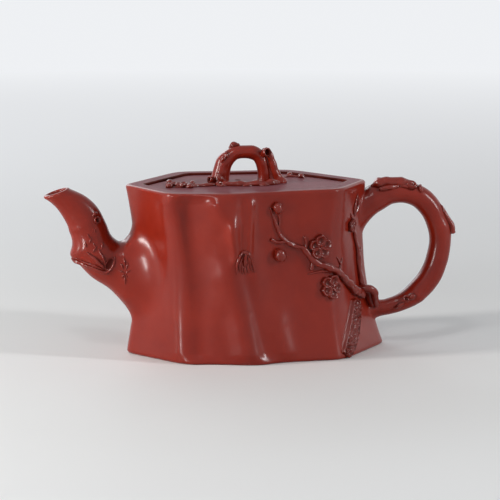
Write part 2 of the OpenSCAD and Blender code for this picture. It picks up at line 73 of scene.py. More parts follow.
# Soft boxes: place, height of the aim on the axis, width and height in metres, watts and tint
SOFT_BOXES = {
    "left_box": ((-0.72, -0.1, 0.26), 0.04, 0.08, 0.32, 4.0, (1, 0.98, 0.95)),
    "front_box": ((-0.2, -0.5, 0.72), 0.05, 0.1, 0.1, 0.7, (1, 1, 1)),
    "strip_box": ((-0.56, -0.44, 0.13), 0.04, 0.04, 0.22, 1.6, (1, 1, 1)),
    "right_box": ((0.58, -0.3, 0.3), 0.04, 0.05, 0.3, 2.2, (0.97, 0.98, 1)),
    "back_box": ((-0.3, 0.72, 0.4), 0.05, 0.5, 0.3, 1.5, (0.9, 0.95, 1))}
for name, (place, aim, width, height, watts, tint) in SOFT_BOXES.items():
    lamp = bpy.data.objects.new(name, bpy.data.lights.new(name, "AREA"))
    lamp.data.shape = "RECTANGLE"
    lamp.data.size = width
    lamp.data.size_y = height
    lamp.data.energy = watts
    lamp.data.color = tint
    lamp.location = place
    lamp.rotation_euler = (Vector((0, 0, aim)) - lamp.location).to_track_quat("-Z", "Y").to_euler()
    bpy.context.collection.objects.link(lamp)


class Wire:
    """A value on its way between two nodes. Arithmetic on it adds Math nodes."""

    def __init__(self, finish, socket):
        self.finish = finish
        self.socket = socket

    def math(self, operation, *values):
        return self.finish.node("ShaderNodeMath", {"operation": operation}, dict(enumerate(values)))

    def __add__(self, other):
        return self.math("ADD", self, other)

    def __sub__(self, other):
        return self.math("SUBTRACT", self, other)

    def __rsub__(self, other):
        return self.math("SUBTRACT", other, self)

    def __mul__(self, other):
        return self.math("MULTIPLY", self, other)

    def __pow__(self, other):
        return self.math("POWER", self, other)

    __radd__ = __add__
    __rmul__ = __mul__

    def clipped(self):
        return self.math("MINIMUM", self.math("MAXIMUM", self, 0.0), 1.0)


class Finish:
    """A material, and the one way in which nodes are added to it."""

    def __init__(self, name, world=None):
        self.data = world or bpy.data.materials.new(name)
        self.data.use_nodes = True
        self.tree = self.data.node_tree
        self.tree.nodes.clear()

    def node(self, kind, settings=(), sockets=(), out=0):
        node = self.tree.nodes.new(kind)
        for key, value in dict(settings).items():
            setattr(node, key, value)
        for key, value in dict(sockets).items():
            if isinstance(value, Wire):
                self.tree.links.new(value.socket, node.inputs[key])
            elif isinstance(value, tuple) and len(value) == 3 and node.inputs[key].type == "RGBA":
                node.inputs[key].default_value = (*value, 1)
            else:
                node.inputs[key].default_value = value
        return Wire(self, node.outputs[out] if node.outputs else None)

    def mixed(self, share, first, second):
        """A colour between two colours. Sockets 6 and 7 of a colour Mix are A and B."""
        return self.node("ShaderNodeMix", {"data_type": "RGBA"},
                         {"Factor": share, 6: first, 7: second}, out=2)


TABLE_TONE = (0.8, 0.8, 0.79)
ROOM_TONE = (0.86, 0.875, 0.9)
ROOM_LIGHT = 0.22


def seen_rays(finish):
    """1 for what the eye sees, directly, in a polish or through glass, and 0 for lamp light."""
    return sum(finish.node("ShaderNodeLightPath", out=name) for name in (
        "Is Camera Ray", "Is Glossy Ray", "Is Transmission Ray")).clipped()


room = Finish("room", bpy.data.worlds.new("room"))
bpy.context.scene.world = room.data
glow = room.node("ShaderNodeBackground", {}, {
    "Color": ROOM_TONE, "Strength": seen_rays(room) * (1 - ROOM_LIGHT) + ROOM_LIGHT})
room.node("ShaderNodeOutputWorld", {}, {"Surface": glow})

# The table is a round board, in metres, that fades to the room's own tone away from the pot
TABLE_R = 3.0
TABLE_SIDES = 64
FADE_FROM = 0.16
FADE_OVER = 0.9
turns = [math.tau * k / TABLE_SIDES for k in range(TABLE_SIDES)]
table_mesh = bpy.data.meshes.new("table_top")
table_mesh.from_pydata([(TABLE_R * math.cos(t), TABLE_R * math.sin(t), 0) for t in turns], [],
                       [range(TABLE_SIDES)])
table = bpy.data.objects.new("table_top", table_mesh)
bpy.context.collection.objects.link(table)
board = Finish("table_top")
place = board.node("ShaderNodeTexCoord", out=3)
mottle = board.node("ShaderNodeTexNoise", {}, {"Vector": place, "Scale": 9.0, "Detail": 3.0})
tone = board.mixed(mottle, tuple(0.97 * c for c in TABLE_TONE), TABLE_TONE)
reach = board.node("ShaderNodeVectorMath", {"operation": "LENGTH"}, {0: place}, out=1)
far = (reach * (1 / FADE_OVER) - FADE_FROM / FADE_OVER).clipped() ** 0.8
top = board.node("ShaderNodeBsdfPrincipled", {}, {"Base Color": tone, "Roughness": 0.65})
haze = board.node("ShaderNodeEmission", {}, {"Color": ROOM_TONE, "Strength": 1.0})
board.node("ShaderNodeOutputMaterial", {}, {"Surface": board.node(
    "ShaderNodeMixShader", {}, {0: far * seen_rays(board), 1: top, 2: haze})})
table.data.materials.append(board.data)


# ---- The clay ----
# Unglazed red stoneware, fired once and rubbed with tea until it has a satin skin. Open surfaces
# are burnished. Creases keep the dry clay, rougher and less polished, and are painted darker as
# shade. The flat top shows its fine sandy grain, and its grey-purple tone is partly painted sheen.
# A dark red for the clay's own specks, and for the painted shade in creases and hollows
SPECK_AND_SHADE_RED = (0.055, 0.007, 0.005)
WARMER = (1.16, 1.3, 1.3)
DEEPER = (0.8, 0.72, 0.74)


def clay_finish(name, tone, rough, grain, skin=0.75, rings=0.0):
    """A clay of the given tone and roughness. grain is the height of its sand and rings the depth
    of its year rings, both in mm, and skin how much of the polish it takes."""
    clay = Finish(name)
    place = clay.node("ShaderNodeTexCoord", out=3)
    open_clay = clay.node("ShaderNodeAttribute", {"attribute_name": "open_clay"}, out=2)

    def cloudy(scale, detail, breakup=0.5):
        return clay.node("ShaderNodeTexNoise", {}, {
            "Vector": place, "Scale": scale, "Detail": detail, "Roughness": breakup})

    # Tones that drift over about 25 mm, smudges of 5 mm, sand of 0.4 mm and dark specks
    clouds, smudges, sand = cloudy(38.0, 4.0, 0.6), cloudy(210.0, 5.0, 0.65), cloudy(2600.0, 2.0)
    specks = clay.node("ShaderNodeTexVoronoi", {}, {"Vector": place, "Scale": 1500.0})
    warm = tuple(c * f for c, f in zip(tone, WARMER))
    deep = tuple(c * f for c, f in zip(tone, DEEPER))
    body = clay.mixed((clouds * 2.2 - 0.6).clipped(), deep, warm)
    body = clay.mixed((smudges - 0.42).clipped() * 0.9, body, tone)
    body = clay.mixed((0.24 - specks).clipped() * 1.6, body, SPECK_AND_SHADE_RED)
    # Where the clay's level of polish and light is low, in creases, recesses and under relief, it
    # is rougher, takes less polish and is painted darker as shade
    shade_and_dryness = (1 - open_clay).clipped()
    body = clay.mixed(shade_and_dryness ** 0.8 * 0.92, body, SPECK_AND_SHADE_RED)
    rough = rough + 0.1 * (smudges - 0.5) + 0.06 * (clouds - 0.5) + shade_and_dryness * 0.25
    height = sand * grain + smudges * (0.05 + grain)
    if rings:
        warp = cloudy(26.0, 3.0) * 0.006
        bent = clay.node("ShaderNodeVectorMath", {"operation": "ADD"}, {
            0: place, 1: clay.node("ShaderNodeCombineXYZ", {}, {"X": warp, "Y": warp})})
        years = clay.node("ShaderNodeTexWave", {"wave_type": "RINGS", "rings_direction": "Z"},
                          {"Vector": bent, "Scale": 115.0, "Distortion": 1.2, "Detail": 2.0})
        height = height + years * rings
    bump = clay.node("ShaderNodeBump", {}, {"Strength": 1.0, "Distance": MM, "Height": height})
    shader = clay.node("ShaderNodeBsdfPrincipled", {}, {
        "Base Color": body, "Roughness": rough.clipped(), "Normal": bump,
        "Coat Weight": (open_clay * skin).clipped(), "Coat Roughness": 0.2, "Coat IOR": 1.4,
        "Specular IOR Level": 0.04})
    clay.node("ShaderNodeOutputMaterial", {}, {"Surface": shader})
    return clay.data


wall_clay = clay_finish("burnished_clay", (0.205, 0.012, 0.004), 0.4, 0.01)
# The flat top's grey-purple tone is partly painted sheen of the pale room; its sand and year rings
# are its own
top_clay_painted_sheen = clay_finish("sanded_clay", (0.21, 0.07, 0.08), 0.55, 0.03, 0.14, rings=0.06)
relief_clay = clay_finish("relief_clay", (0.18, 0.011, 0.004), 0.3, 0.008, 1.0)
inner_clay = clay_finish("dry_clay", (0.2, 0.032, 0.018), 0.62, 0.03, 0.0)


# ---- The stump's wall ----
# A six-sided tree stump, beaten up from slabs of red clay and paddled to soft folds, with a thin
# skin of its flat crown. It is hollow, and the spout's bore goes through it at its left corner.
CROWN_W = 92
CROWN_D = 66
STUMP_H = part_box("trunk_wall")[1].z / MM
WALL_T = 3
FLOOR_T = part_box("floor_slab")[1].z / MM
CROWN_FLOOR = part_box("crown_slab")[0].z / MM
WAIST_IN = 3
ARRIS_R = 1.2
FOOT_R = 1.4
# Each rail: its place on the crown in half widths and depths, its shift by the foot, the power of
# that shift, its share of the waist and its softness
RAILS = np.array([
    [-1.078, 0.03, -0.8, -2.6, 1.5, 1.25, 0.07], [-0.775, -0.83, 6.5, -2.9, 0.8, 0.8, 0.2],
    [-0.52, -0.9, 5, -0.6, 1, 1, 0.42], [-0.24, -1, 10, -2.8, 1, 0.5, 0.36],
    [-0.06, -0.91, 9.5, -1, 1, 1, 0.44], [0.3, -0.81, 7, -3.2, 1.3, 0.8, 0.44],
    [0.69, -0.75, 1.2, -4.2, 2, 0.9, 0.2], [1.011, -0.02, 9.3, 3.6, 2.5, 0.5, 0.08],
    [0.47, 1, 5, 2.4, 1.6, 0.9, 0.2], [-0.05, 0.98, -4, 4, 1.2, 0.3, 0.4],
    [-0.535, 1.03, -3, 1, 1, 1, 0.2]])
END_X = (RAILS[0, 0] * CROWN_W / 2, RAILS[7, 0] * CROWN_W / 2)
# The corners are softer at the foot than on the crown, by this factor, and at most this soft
FOOT_SOFT = 1.7
MOST_SOFT = 0.47
# Points round the wall and up it, on a rounded corner and on a side, and rounds of evening out
COLUMNS = 440
WALL_LEVELS = 128
ARC_POINTS = 25
SIDE_POINTS = 8
EVENING = 8


def full_turn(count):
    """Even turns round a full circle, in radians."""
    return np.linspace(0, math.tau, count, endpoint=False)


def curve(rows, steps):
    """A smooth curve through rows of numbers, with so many steps from each row to the next."""
    p = np.asarray(rows, float)
    p = np.vstack([p[0], p, p[-1]])
    t = (np.arange(steps) / steps)[:, None]
    spans = [0.5 * (2 * b + (c - a) * t + (2 * a - 5 * b + 4 * c - d) * t ** 2
                    + (3 * b - a - 3 * c + d) * t ** 3)
             for a, b, c, d in zip(p, p[1:], p[2:], p[3:])]
    return np.vstack(spans + [p[-1:]])


def unit(v):
    v = np.asarray(v, float)
    return v / np.maximum(np.linalg.norm(v, axis=-1, keepdims=True), 1e-12)


def softened(corners, inset, soft):
    """A closed outline moved inwards and rounded, as fine points, and the middle of each corner."""
    before, after = unit(corners - np.roll(corners, 1, 0)), unit(np.roll(corners, -1, 0) - corners)
    u, v = (np.stack([-w[:, 1], w[:, 0]], 1) for w in (before, after))
    p = corners + inset * (u + v) / (1 + (u * v).sum(1))[:, None]
    a = p + (np.roll(p, 1, 0) - p) * soft[:, None]
    b = p + (np.roll(p, -1, 0) - p) * soft[:, None]
    t = np.linspace(0, 1, ARC_POINTS)[:, None]
    s = (np.arange(1, SIDE_POINTS + 1) / (SIDE_POINTS + 1))[:, None]
    loop = [np.vstack([(1 - t) ** 2 * a[i] + 2 * t * (1 - t) * p[i] + t ** 2 * b[i],
                       b[i] + (a[(i + 1) % len(p)] - b[i]) * s]) for i in range(len(p))]
    step = ARC_POINTS + SIDE_POINTS
    return np.vstack(loop), [i * step + ARC_POINTS // 2 for i in range(len(p))]


def rail_corners(z):
    """The corners at a height: the crown's, drawn in to the waist and spread to the foot."""
    up = z / STUMP_H
    crown = RAILS[:, :2] * (CROWN_W / 2, CROWN_D / 2)
    return (crown - unit(crown) * (WAIST_IN * RAILS[:, 5] * math.sin(math.pi * up))[:, None]
            + RAILS[:, 2:4] * (max(1 - up, 0) ** RAILS[:, 4])[:, None])


def spaced(loop, corners, shares):
    """Even points between the middles of the corners, so that every ridge keeps its own column."""
    loop = np.roll(loop, -corners[0], 0)
    ends = [c - corners[0] for c in corners] + [len(loop)]
    loop = np.vstack([loop, loop[:1]])
    run = np.concatenate([[0], np.cumsum(np.linalg.norm(np.diff(loop, axis=0), axis=1))])
    at = np.concatenate([np.linspace(run[ends[i]], run[ends[i + 1]], n, endpoint=False)
                         for i, n in enumerate(shares)])
    return np.stack([np.interp(at, run, loop[:, k]) for k in (0, 1)], 1)


sides = np.linalg.norm(np.roll(rail_corners(STUMP_H), -1, 0) - rail_corners(STUMP_H), axis=1)
shares = np.round(sides / sides.sum() * COLUMNS).astype(int)
shares[-1] += COLUMNS - shares.sum()


def stump_loop(z, inset=0.0):
    """The stump's outline at a height, moved inwards by the inset."""
    soft = np.minimum(RAILS[:, 6] * (FOOT_SOFT - (FOOT_SOFT - 1) * z / STUMP_H), MOST_SOFT)
    loop, corners = softened(rail_corners(z), inset, soft)
    loop = spaced(loop, corners, shares)
    for _ in range(EVENING):
        loop = (np.roll(loop, 1, 0) + 2 * loop + np.roll(loop, -1, 0)) / 4
    return np.column_stack([loop, np.full(COLUMNS, z)])


# Folds and soft swellings that a side is pressed to: their line in x and z, half width and height
FOLDS = [
    ([(-7.9, 63), (-8.2, 50), (-7.7, 42)], 1.7, -0.8), ([(-17.5, 63), (-11.8, 53)], 3.2, 1.7),
    ([(-11.6, 52), (-10.2, 42)], 1.7, 1.2), ([(-4.6, 61), (-5.3, 50), (-5.6, 43)], 1.7, 1.1),
    ([(-12.7, 33), (-9, 19), (-5.3, 1)], 5, 1.5), ([(-6.3, 35), (-3.2, 22), (1.6, 2)], 3.6, -1.5),
    ([(6.5, 13), (8.8, 4)], 4.4, 1.4), ([(-28.5, 62), (-27, 35), (-25, 6)], 4.8, -1.8),
    ([(-36, 62), (-33, 30), (-31.4, 3)], 2.8, 0.9), ([(-17.5, 58), (-16, 25)], 4, 0.6),
    ([(28, 60), (27.5, 34)], 5, -0.5), ([(14, 56), (15, 12)], 4.5, -0.4)]
BACK_FOLDS = [
    ([(21, 60), (18, 34), (21, 4)], 4.6, -1.3), ([(10, 62), (7, 30), (8, 2)], 4.8, 0.9),
    ([(-4, 60), (-7, 28), (-3, 6)], 4.2, -1.1), ([(-17, 56), (-19, 22), (-24, 2)], 5, 1.1),
    ([(-30, 60), (-31, 24)], 3.6, -0.8)]
# A side's folds come in over this depth from the middle, and fade this near the foot, to a share
# of their height, and the crown, to nothing
SIDE_DEPTH = 12
EDGE_FADE = 4
AT_FOOT = 0.15
# The hollow under the crown between the front's ridges: x, half width, depth and height
SHOULDER_X, SHOULDER_HALF, SHOULDER_IN, SHOULDER_H = -11.5, 8, 1.3, 6
# The unevenness that paddling and rubbing leave, and the width of one wave of each
PADDLED, PADDLED_OVER = 0.16, 13
RUBBED, RUBBED_OVER = 0.05, 4.5


def folded(x, z, folds):
    """How far one side of the wall stands out at each point, in mm."""
    out = np.zeros_like(x)
    for line, half, height in folds:
        gaps = []
        for (x0, z0), (x1, z1) in zip(line, line[1:]):
            way = np.array([x1 - x0, z1 - z0])
            near = np.clip(((x - x0) * way[0] + (z - z0) * way[1]) / (way @ way), 0, 1)
            gaps.append(np.hypot((x - x0 - near * way[0]) / half,
                                 (z - z0 - near * way[1]) / (2 * half)))
        out += height * np.exp(-np.min(gaps, axis=0) ** 2)
    return out


def wavy(points, size, seed=0):
    """Smooth random numbers, about -1 to 1, that change over the given size in mm."""
    shift = Vector((seed * 7.3, seed * 3.1, seed * 5.7))
    return np.array([noise.noise(Vector(p) / size + shift) for p in points.reshape(-1, 3)]
                    ).reshape(points.shape[:-1])


def quads_between(rings, points, closed=False):
    """The four-sided faces that join rings of points, and join the last ring to the first."""
    i, j = np.arange(rings if closed else rings - 1)[:, None] * points, np.arange(points)[None, :]
    ahead, beside = (i + points) % (rings * points), (j + 1) % points
    return np.stack([i + j, i + beside, ahead + beside, ahead + j], -1).reshape(-1, 4)


class Clay:
    """Clay that is being shaped: shells of points in mm, each with its level of polish and of
    painted light, low where it is painted dark as shade.
    """

    def __init__(self):
        self.points, self.open_clay, self.faces, self.finishes, self.count = [], [], [], [], 0

    def shell(self, rings, closed=False, open_clay=1.0, sanded=(0, 0)):
        """Adds a skin over rings of points. The sanded rings take the piece's second finish."""
        rings = np.asarray(rings, float)
        m, n = rings.shape[:2]
        quads = quads_between(m, n, closed) + self.count
        self.faces += quads.tolist()
        self.finishes += [int(sanded[0] <= k // n < sanded[1]) for k in range(len(quads))]
        if not closed:
            self.finishes += [0, 0]
            self.faces.append(list(range(self.count, self.count + n))[::-1])
            self.faces.append(list(range(self.count + (m - 1) * n, self.count + m * n)))
        self.points.append(rings.reshape(-1, 3))
        self.open_clay.append(np.broadcast_to(open_clay, (m, n)).reshape(-1))
        self.count += m * n

    def mesh(self, name):
        mesh = bpy.data.meshes.new(name)
        mesh.from_pydata((np.vstack(self.points) * MM).tolist(), [], self.faces)
        mesh.polygons.foreach_set("material_index", np.array(self.finishes, np.int32))
        level = mesh.attributes.new("open_clay", "FLOAT", "POINT")
        level.data.foreach_set("value", np.concatenate(self.open_clay).astype(np.float32))
        shape = bmesh.new()
        shape.from_mesh(mesh)
        bmesh.ops.recalc_face_normals(shape, faces=shape.faces)
        shape.to_mesh(mesh)
        shape.free()
        return mesh

    def fired(self, name, finish, body, nodes=None, slot="clay", second=None):
        """The finished piece. It rides on a body and stands for nodes, or the one of its name."""
        piece = bpy.data.objects.new(name, self.mesh(name))
        bpy.context.collection.objects.link(piece)
        for one in (finish, second) if second else (finish,):
            piece.data.materials.append(one)
        piece.data.shade_smooth()
        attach(piece, body)
        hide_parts(*([name] if nodes is None else nodes))
        return piece


foot_turns = np.radians(np.arange(90, -1, -15))
arris_turns = np.radians(np.arange(0, 91, 15))
outer = np.stack(
    [stump_loop(FOOT_R * (1 - math.sin(t)), FOOT_R * (1 - math.cos(t))) for t in foot_turns]
    + [stump_loop(z) for z in np.linspace(FOOT_R, STUMP_H - ARRIS_R, WALL_LEVELS)[1:-1]]
    + [stump_loop(STUMP_H - ARRIS_R * (1 - math.sin(t)), ARRIS_R * (1 - math.cos(t)))
       for t in arris_turns])
way = np.roll(outer, -1, 1) - np.roll(outer, 1, 1)
out_way = unit(np.stack([way[..., 1], -way[..., 0], np.zeros(way.shape[:2])], -1))
x, y, z = outer[..., 0], outer[..., 1], outer[..., 2]
front, rear = (np.clip(side * y / SIDE_DEPTH, 0, 1) for side in (-1, 1))
ends = np.clip(z / EDGE_FADE, AT_FOOT, 1) * np.clip((STUMP_H - z) / EDGE_FADE, 0, 1)
shoulder = (SHOULDER_IN * np.exp(-((x - SHOULDER_X) / SHOULDER_HALF) ** 2) * front
            * np.clip((z - STUMP_H + SHOULDER_H) / SHOULDER_H, 0, 1) ** 2)
pressed_out = folded(x, z, FOLDS) * front + folded(x, z, BACK_FOLDS) * rear
outer += out_way * (pressed_out * ends - shoulder + PADDLED * wavy(outer, PADDLED_OVER) * ends
                    + RUBBED * wavy(outer, RUBBED_OVER, 1) * ends)[..., None]

# The recess for the lid follows seven of the rails, with softer corners where two ridges meet
LID_RAILS = [0, 1, 3, 6, 7, 8, 10]
RIM_W = 6.5
SKIN_T = 1.0
EDGE_R = 0.45
CROWN_RINGS = 12
INNER_RINGS = 24
ANGLES = np.arctan2(outer[-1, :, 1], outer[-1, :, 0])
lid_corners = rail_corners(STUMP_H)[LID_RAILS]
lid_soft = np.array([0.08, 0.08, 0.08, 0.3, 0.08, 0.08, 0.08])


def lid_loop(inset, angles, centre=(0, 0)):
    """The lid's outline moved inwards, where it meets rays that leave the centre at the angles."""
    loop, _ = softened(lid_corners, inset, lid_soft)
    closed = np.vstack([loop, loop[:1]])
    fine = np.vstack([a + (b - a) * t for a, b in zip(closed, closed[1:])
                      for t in np.linspace(0, 1, 12, endpoint=False)[:, None, None]]
                     ).reshape(-1, 2) - centre
    turns = np.arctan2(fine[:, 1], fine[:, 0])
    reach = np.interp(angles, turns, np.hypot(fine[:, 0], fine[:, 1]), period=math.tau)
    return np.stack([centre[0] + reach * np.cos(angles), centre[1] + reach * np.sin(angles)], 1)


def at_height(loop, z):
    return np.column_stack([loop[:, :2], np.full(len(loop), z)])


recess = [at_height(lid_loop(RIM_W - EDGE_R * (1 - math.sin(t)), ANGLES),
                    STUMP_H - EDGE_R * (1 - math.cos(t))) for t in np.radians((0, 30, 60, 90))]
crown = [outer[-1] + (recess[0] - outer[-1]) * t for t in np.linspace(0, 1, CROWN_RINGS)[1:-1]]


def sanded_flat(rings, depth, size, seed):
    """The rings of a flat top with the unevenness that sanding leaves, in mm."""
    return [ring + depth * wavy(ring, size, seed)[:, None] * (0, 0, 1) for ring in rings]


crown = sanded_flat(crown, 0.06, 7, 2)


def inner_loop(z):
    return at_height(stump_loop(min(max(z, FLOOR_T), CROWN_FLOOR), WALL_T), z)


under = at_height(recess[-1], STUMP_H - SKIN_T)
inner = [inner_loop(z)
         for z in (STUMP_H - SKIN_T, *np.linspace(CROWN_FLOOR, FLOOR_T, INNER_RINGS), 0)]
rings = np.stack([*outer, *crown, *recess, under, *inner])
# The clay is polished on the outside and the crown, is painted darker into the recess as shade, and
# is dry and darker within
polish_and_light_levels = np.concatenate([np.ones(len(rings) - len(inner) - 6),
                           [0.8, 0.35, 0.2, 0.15, 0.15, 0.15], np.full(len(inner), 0.4)])
stump = Clay()
stump.shell(rings, closed=True, open_clay=polish_and_light_levels[:, None],
            sanded=(len(outer), len(outer) + len(crown) - 1))
stump = stump.fired("stump_wall", wall_clay, "pot", ["trunk_wall"], second=top_clay_painted_sheen)

# The bore behind the spout is cut with a straight tube that reaches past both faces of the wall
BORE_R = 6.5
BORE_Z = 31
BORE_SIDES = 96
BORE_REACH = (-8, 16)
bore = Clay()
bore.shell([[(END_X[0] + reach, BORE_R * math.cos(t), BORE_Z + BORE_R * math.sin(t))
             for t in full_turn(BORE_SIDES)] for reach in BORE_REACH])
drill = bpy.data.objects.new("drill", bore.mesh("drill"))
bpy.context.collection.objects.link(drill)
cut = stump.modifiers.new("bore", "BOOLEAN")
cut.object = drill
# The plain solver has a new name from Blender 5 on
cut.solver = "FLOAT" if bpy.app.version >= (5, 0, 0) else "FAST"
shaped = bpy.data.meshes.new_from_object(
    stump.evaluated_get(bpy.context.evaluated_depsgraph_get()))
stump.modifiers.clear()
stump.data = shaped
bpy.data.objects.remove(drill)


# ---- The floor ----
# A slab of dry red clay, set into the foot of the wall from below and a little hollow underneath,
# so that the pot stands on its rim.
HOLLOW = 0.35
floor_edge = inner_loop(0)
floor_rings = [(0.05, HOLLOW), (0.9, HOLLOW), (0.985, HOLLOW * 0.6), (1, 0.1), (1, FLOOR_T - 0.4),
               (0.985, FLOOR_T), (0.5, FLOOR_T), (0.05, FLOOR_T)]
slab = Clay()
slab.shell([at_height(floor_edge * share, z) for share, z in floor_rings], open_clay=0.6)
slab.fired("floor_of_stump", inner_clay, "pot", ["floor_slab"], slot="clay_dark")


# ---- The crown and its seat ----
# The inner part of the flat top: a ring of clay under the crown's skin, cut to a six-sided recess
# with a ledge, on which the lid lies. It is luted into the wall.
LID_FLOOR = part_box("lid_slab")[0].z / MM
LID_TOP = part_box("lid_slab")[1].z / MM
LEDGE_W = 3
# The ledge's edges, the foot of its rim, and the joint under the crown's skin
CHAMFER = 0.4
LEDGE_SOFT = 0.3
SKIN_JOINT = 0.02
under_skin = STUMP_H - SKIN_T - SKIN_JOINT
seat_steps = [
    (RIM_W, under_skin), (RIM_W, LID_FLOOR + LEDGE_SOFT), (RIM_W + LEDGE_SOFT, LID_FLOOR),
    (RIM_W + LEDGE_W - CHAMFER, LID_FLOOR), (RIM_W + LEDGE_W, LID_FLOOR - CHAMFER),
    (RIM_W + LEDGE_W, CROWN_FLOOR + CHAMFER), (RIM_W + LEDGE_W - CHAMFER, CROWN_FLOOR)]
seat = Clay()
seat.shell([inner_loop(under_skin),
            *(at_height(lid_loop(inset, ANGLES), z) for inset, z in seat_steps),
            inner_loop(CROWN_FLOOR)], closed=True, open_clay=0.55)
seat.fired("crown_seat", inner_clay, "pot", ["crown_slab"])


# ---- The spout ----
# A hollow limb, thrown back like a broken branch. It is rolled over a tapered stick, bent at its
# elbow, luted over the bore, and its root is drawn out over the corner of the stump.

# Rays that find the wall start well clear of it, in front of the pot and beside it
IN_FRONT = -90
BESIDE = 120


class Surface:
    """A surface that clay is laid on. A place on it is its x and z as seen from the front, or,
    where a limb is taken by its turns, the share of its length and the turn in degrees."""

    def __init__(self, rings, limb=None, by_turns=False):
        rings = np.asarray(rings, float)
        self.tree = BVHTree.FromPolygons(rings.reshape(-1, 3).tolist(),
                                         quads_between(*rings.shape[:2]).tolist())
        self.limb = limb
        self.by_turns = by_turns

    def spot(self, a, b):
        """The point at a place, and the way in which the surface faces there."""
        start, aim = Vector((a, IN_FRONT, b)), Vector((0, 1, 0))
        if self.by_turns:
            f = a * (len(self.limb[0]) - 1)
            i = min(int(f), len(self.limb[0]) - 2)
            centre, _, u, v, ru, rv = [p[i] + (p[i + 1] - p[i]) * (f - i) for p in self.limb]
            turn = math.radians(b)
            aim = -Vector(unit(u * ru * math.cos(turn) + v * rv * math.sin(turn)))
            start = Vector(centre) - aim * 2.4 * max(ru, rv)
        hit, normal, *_ = self.tree.ray_cast(start, aim)
        if normal.dot(aim) > 0:
            normal = -normal
        return np.array(hit), np.array(normal)

    def drop(self, point):
        """The nearest point of the surface, and the way in which the surface faces there."""
        hit, normal, *_ = self.tree.find_nearest(Vector(point))
        middle = Vector((0, 0, hit.z))
        if self.limb:
            gaps = np.linalg.norm(self.limb[0] - np.array(hit), axis=1)
            middle = Vector(self.limb[0][int(np.argmin(gaps))])
        if normal.dot(hit - middle) < 0:
            normal = -normal
        return np.array(hit), np.array(normal)


def limb_frames(rows):
    """Centre, way, two directions across and half thickness along each, for rows of a limb."""
    rows = np.asarray(rows, float)
    centre = rows[:, :3]
    along = unit(np.vstack([centre[1] - centre[0], centre[2:] - centre[:-2],
                            centre[-1] - centre[-2]]))
    u = unit(np.cross([0, 1, 0], along))
    return centre, along, u, np.cross(along, u), rows[:, 3], rows[:, 4]


def limb_ring(station, turns, thin=0.0, extra=0.0):
    """A ring of a limb at one of its rows, thinner or thicker by some mm."""
    centre, _, u, v, ru, rv = station
    return (centre + np.outer(np.cos(turns) * (ru - thin + extra), u)
            + np.outer(np.sin(turns) * (rv - thin + extra), v))


def swell_of(share, turns, swells):
    """How far a limb stands out at a share of its length, from its knots and bumps."""
    out = np.zeros_like(turns)
    for at, turn, long, wide, height in swells:
        gap = (np.degrees(turns) - turn + 180) % 360 - 180
        out += height * math.exp(-((share - at) / long) ** 2) * np.exp(-(gap / wide) ** 2)
    return out


def limb_rings(limb, turns, swells):
    """The rings of a whole limb with its knots and bumps."""
    last = len(limb[0]) - 1
    return [limb_ring([part[i] for part in limb], turns, 0.0, swell_of(i / last, turns, swells))
            for i in range(last + 1)]


def kneaded(rings, depth, size, seed):
    """The rings of a limb with the marks of the fingers that rolled it, in mm."""
    return [ring + depth * wavy(ring, size, seed)[:, None] * unit(ring - ring.mean(axis=0))
            for ring in rings]


def flared(ring, way, seat, seat_way, steps, pull):
    """Rings that carry a limb's end out on to a surface, where they arrive lying along it. pull
    is how strongly the limb's own way and the surface's shape them."""
    chord = np.linalg.norm(seat - ring, axis=1)[:, None]
    t = np.linspace(0, 1, steps + 1)[1:, None, None]
    return ((2 * t ** 3 - 3 * t ** 2 + 1) * ring + (t ** 3 - 2 * t ** 2 + t) * way * chord * pull[0]
            + (3 * t ** 2 - 2 * t ** 3) * seat + (t ** 3 - t ** 2) * seat_way * chord * pull[1])


wall = Surface(outer)


def wall_seat(side, z, half_h, half_w, turns):
    """A ring on the stump's end wall, and the way in which the wall runs outwards from it, as a
    slightly larger ring shows it."""
    def on_wall(grow):
        hits = []
        for t in turns:
            start = Vector((side * BESIDE, -half_w * grow * math.sin(t),
                            z + half_h * grow * math.cos(t)))
            hit, *_ = wall.tree.ray_cast(start, Vector((-side, 0, 0)))
            hits.append(np.array(hit))
        return np.array(hits)
    ring = on_wall(1)
    return ring, unit(on_wall(1.06) - ring)


# How far a root's edge runs out and in under the wall's surface, and how deep its end lies, in mm
TUCK_OUT, TUCK_IN, ROOT_DEEP = 0.5, 0.16, 1.2


def tucked(seat, seat_way, side):
    """The last rings of a root, which slip just under the wall's surface."""
    inwards = np.array([-side, 0, 0])
    return [seat + seat_way * TUCK_OUT + inwards * TUCK_IN, seat + inwards * ROOT_DEEP]


SPOUT_REACH = 31.8
SPOUT_W = 11
SPOUT_T = 2.1
LIP_T = 1.5
# How far the lip's rim stands out of the mouth, in its own thicknesses
LIP_OUT = 0.45
SPOUT_STEPS = 14
SPOUT_TURNS = full_turn(112)
# Low and high side of the limb, each as shares of reach and of the stump's height, and its width
SPOUT_ROWS = [
    [0.965, 0.933, 0.694, 0.982, 0.84], [0.818, 0.87, 0.509, 0.939, 0.9],
    [0.695, 0.774, 0.352, 0.867, 1], [0.635, 0.68, 0.258, 0.779, 1.12],
    [0.62, 0.588, 0.195, 0.706, 1.28], [0.428, 0.468, 0.107, 0.667, 1.38],
    [0.189, 0.385, 0.038, 0.67, 1.52], [0.031, 0.303, -0.006, 0.691, 1.68]]
# The high side's reach is measured from this far inside the end wall
HIGH_IN = 1.2
# The root on the end wall: how high it sits, half its height and half its width, how many rings
# it has and how it is pulled
SPOUT_ROOT = (0.48 * STUMP_H, 0.3 * STUMP_H, 1.6 * SPOUT_W)
ROOT_RINGS = 22
SPOUT_PULL = (0.7, 1.05)
# Knots and bumps: share of the length, turn, their length and width, and height in mm
SPOUT_SWELLS = [(0.565, 180, 0.045, 42, 1.1), (0.66, 90, 0.06, 50, 0.5),
                (0.35, 150, 0.03, 40, 0.35), (0.02, 180, 0.03, 120, 0.25)]

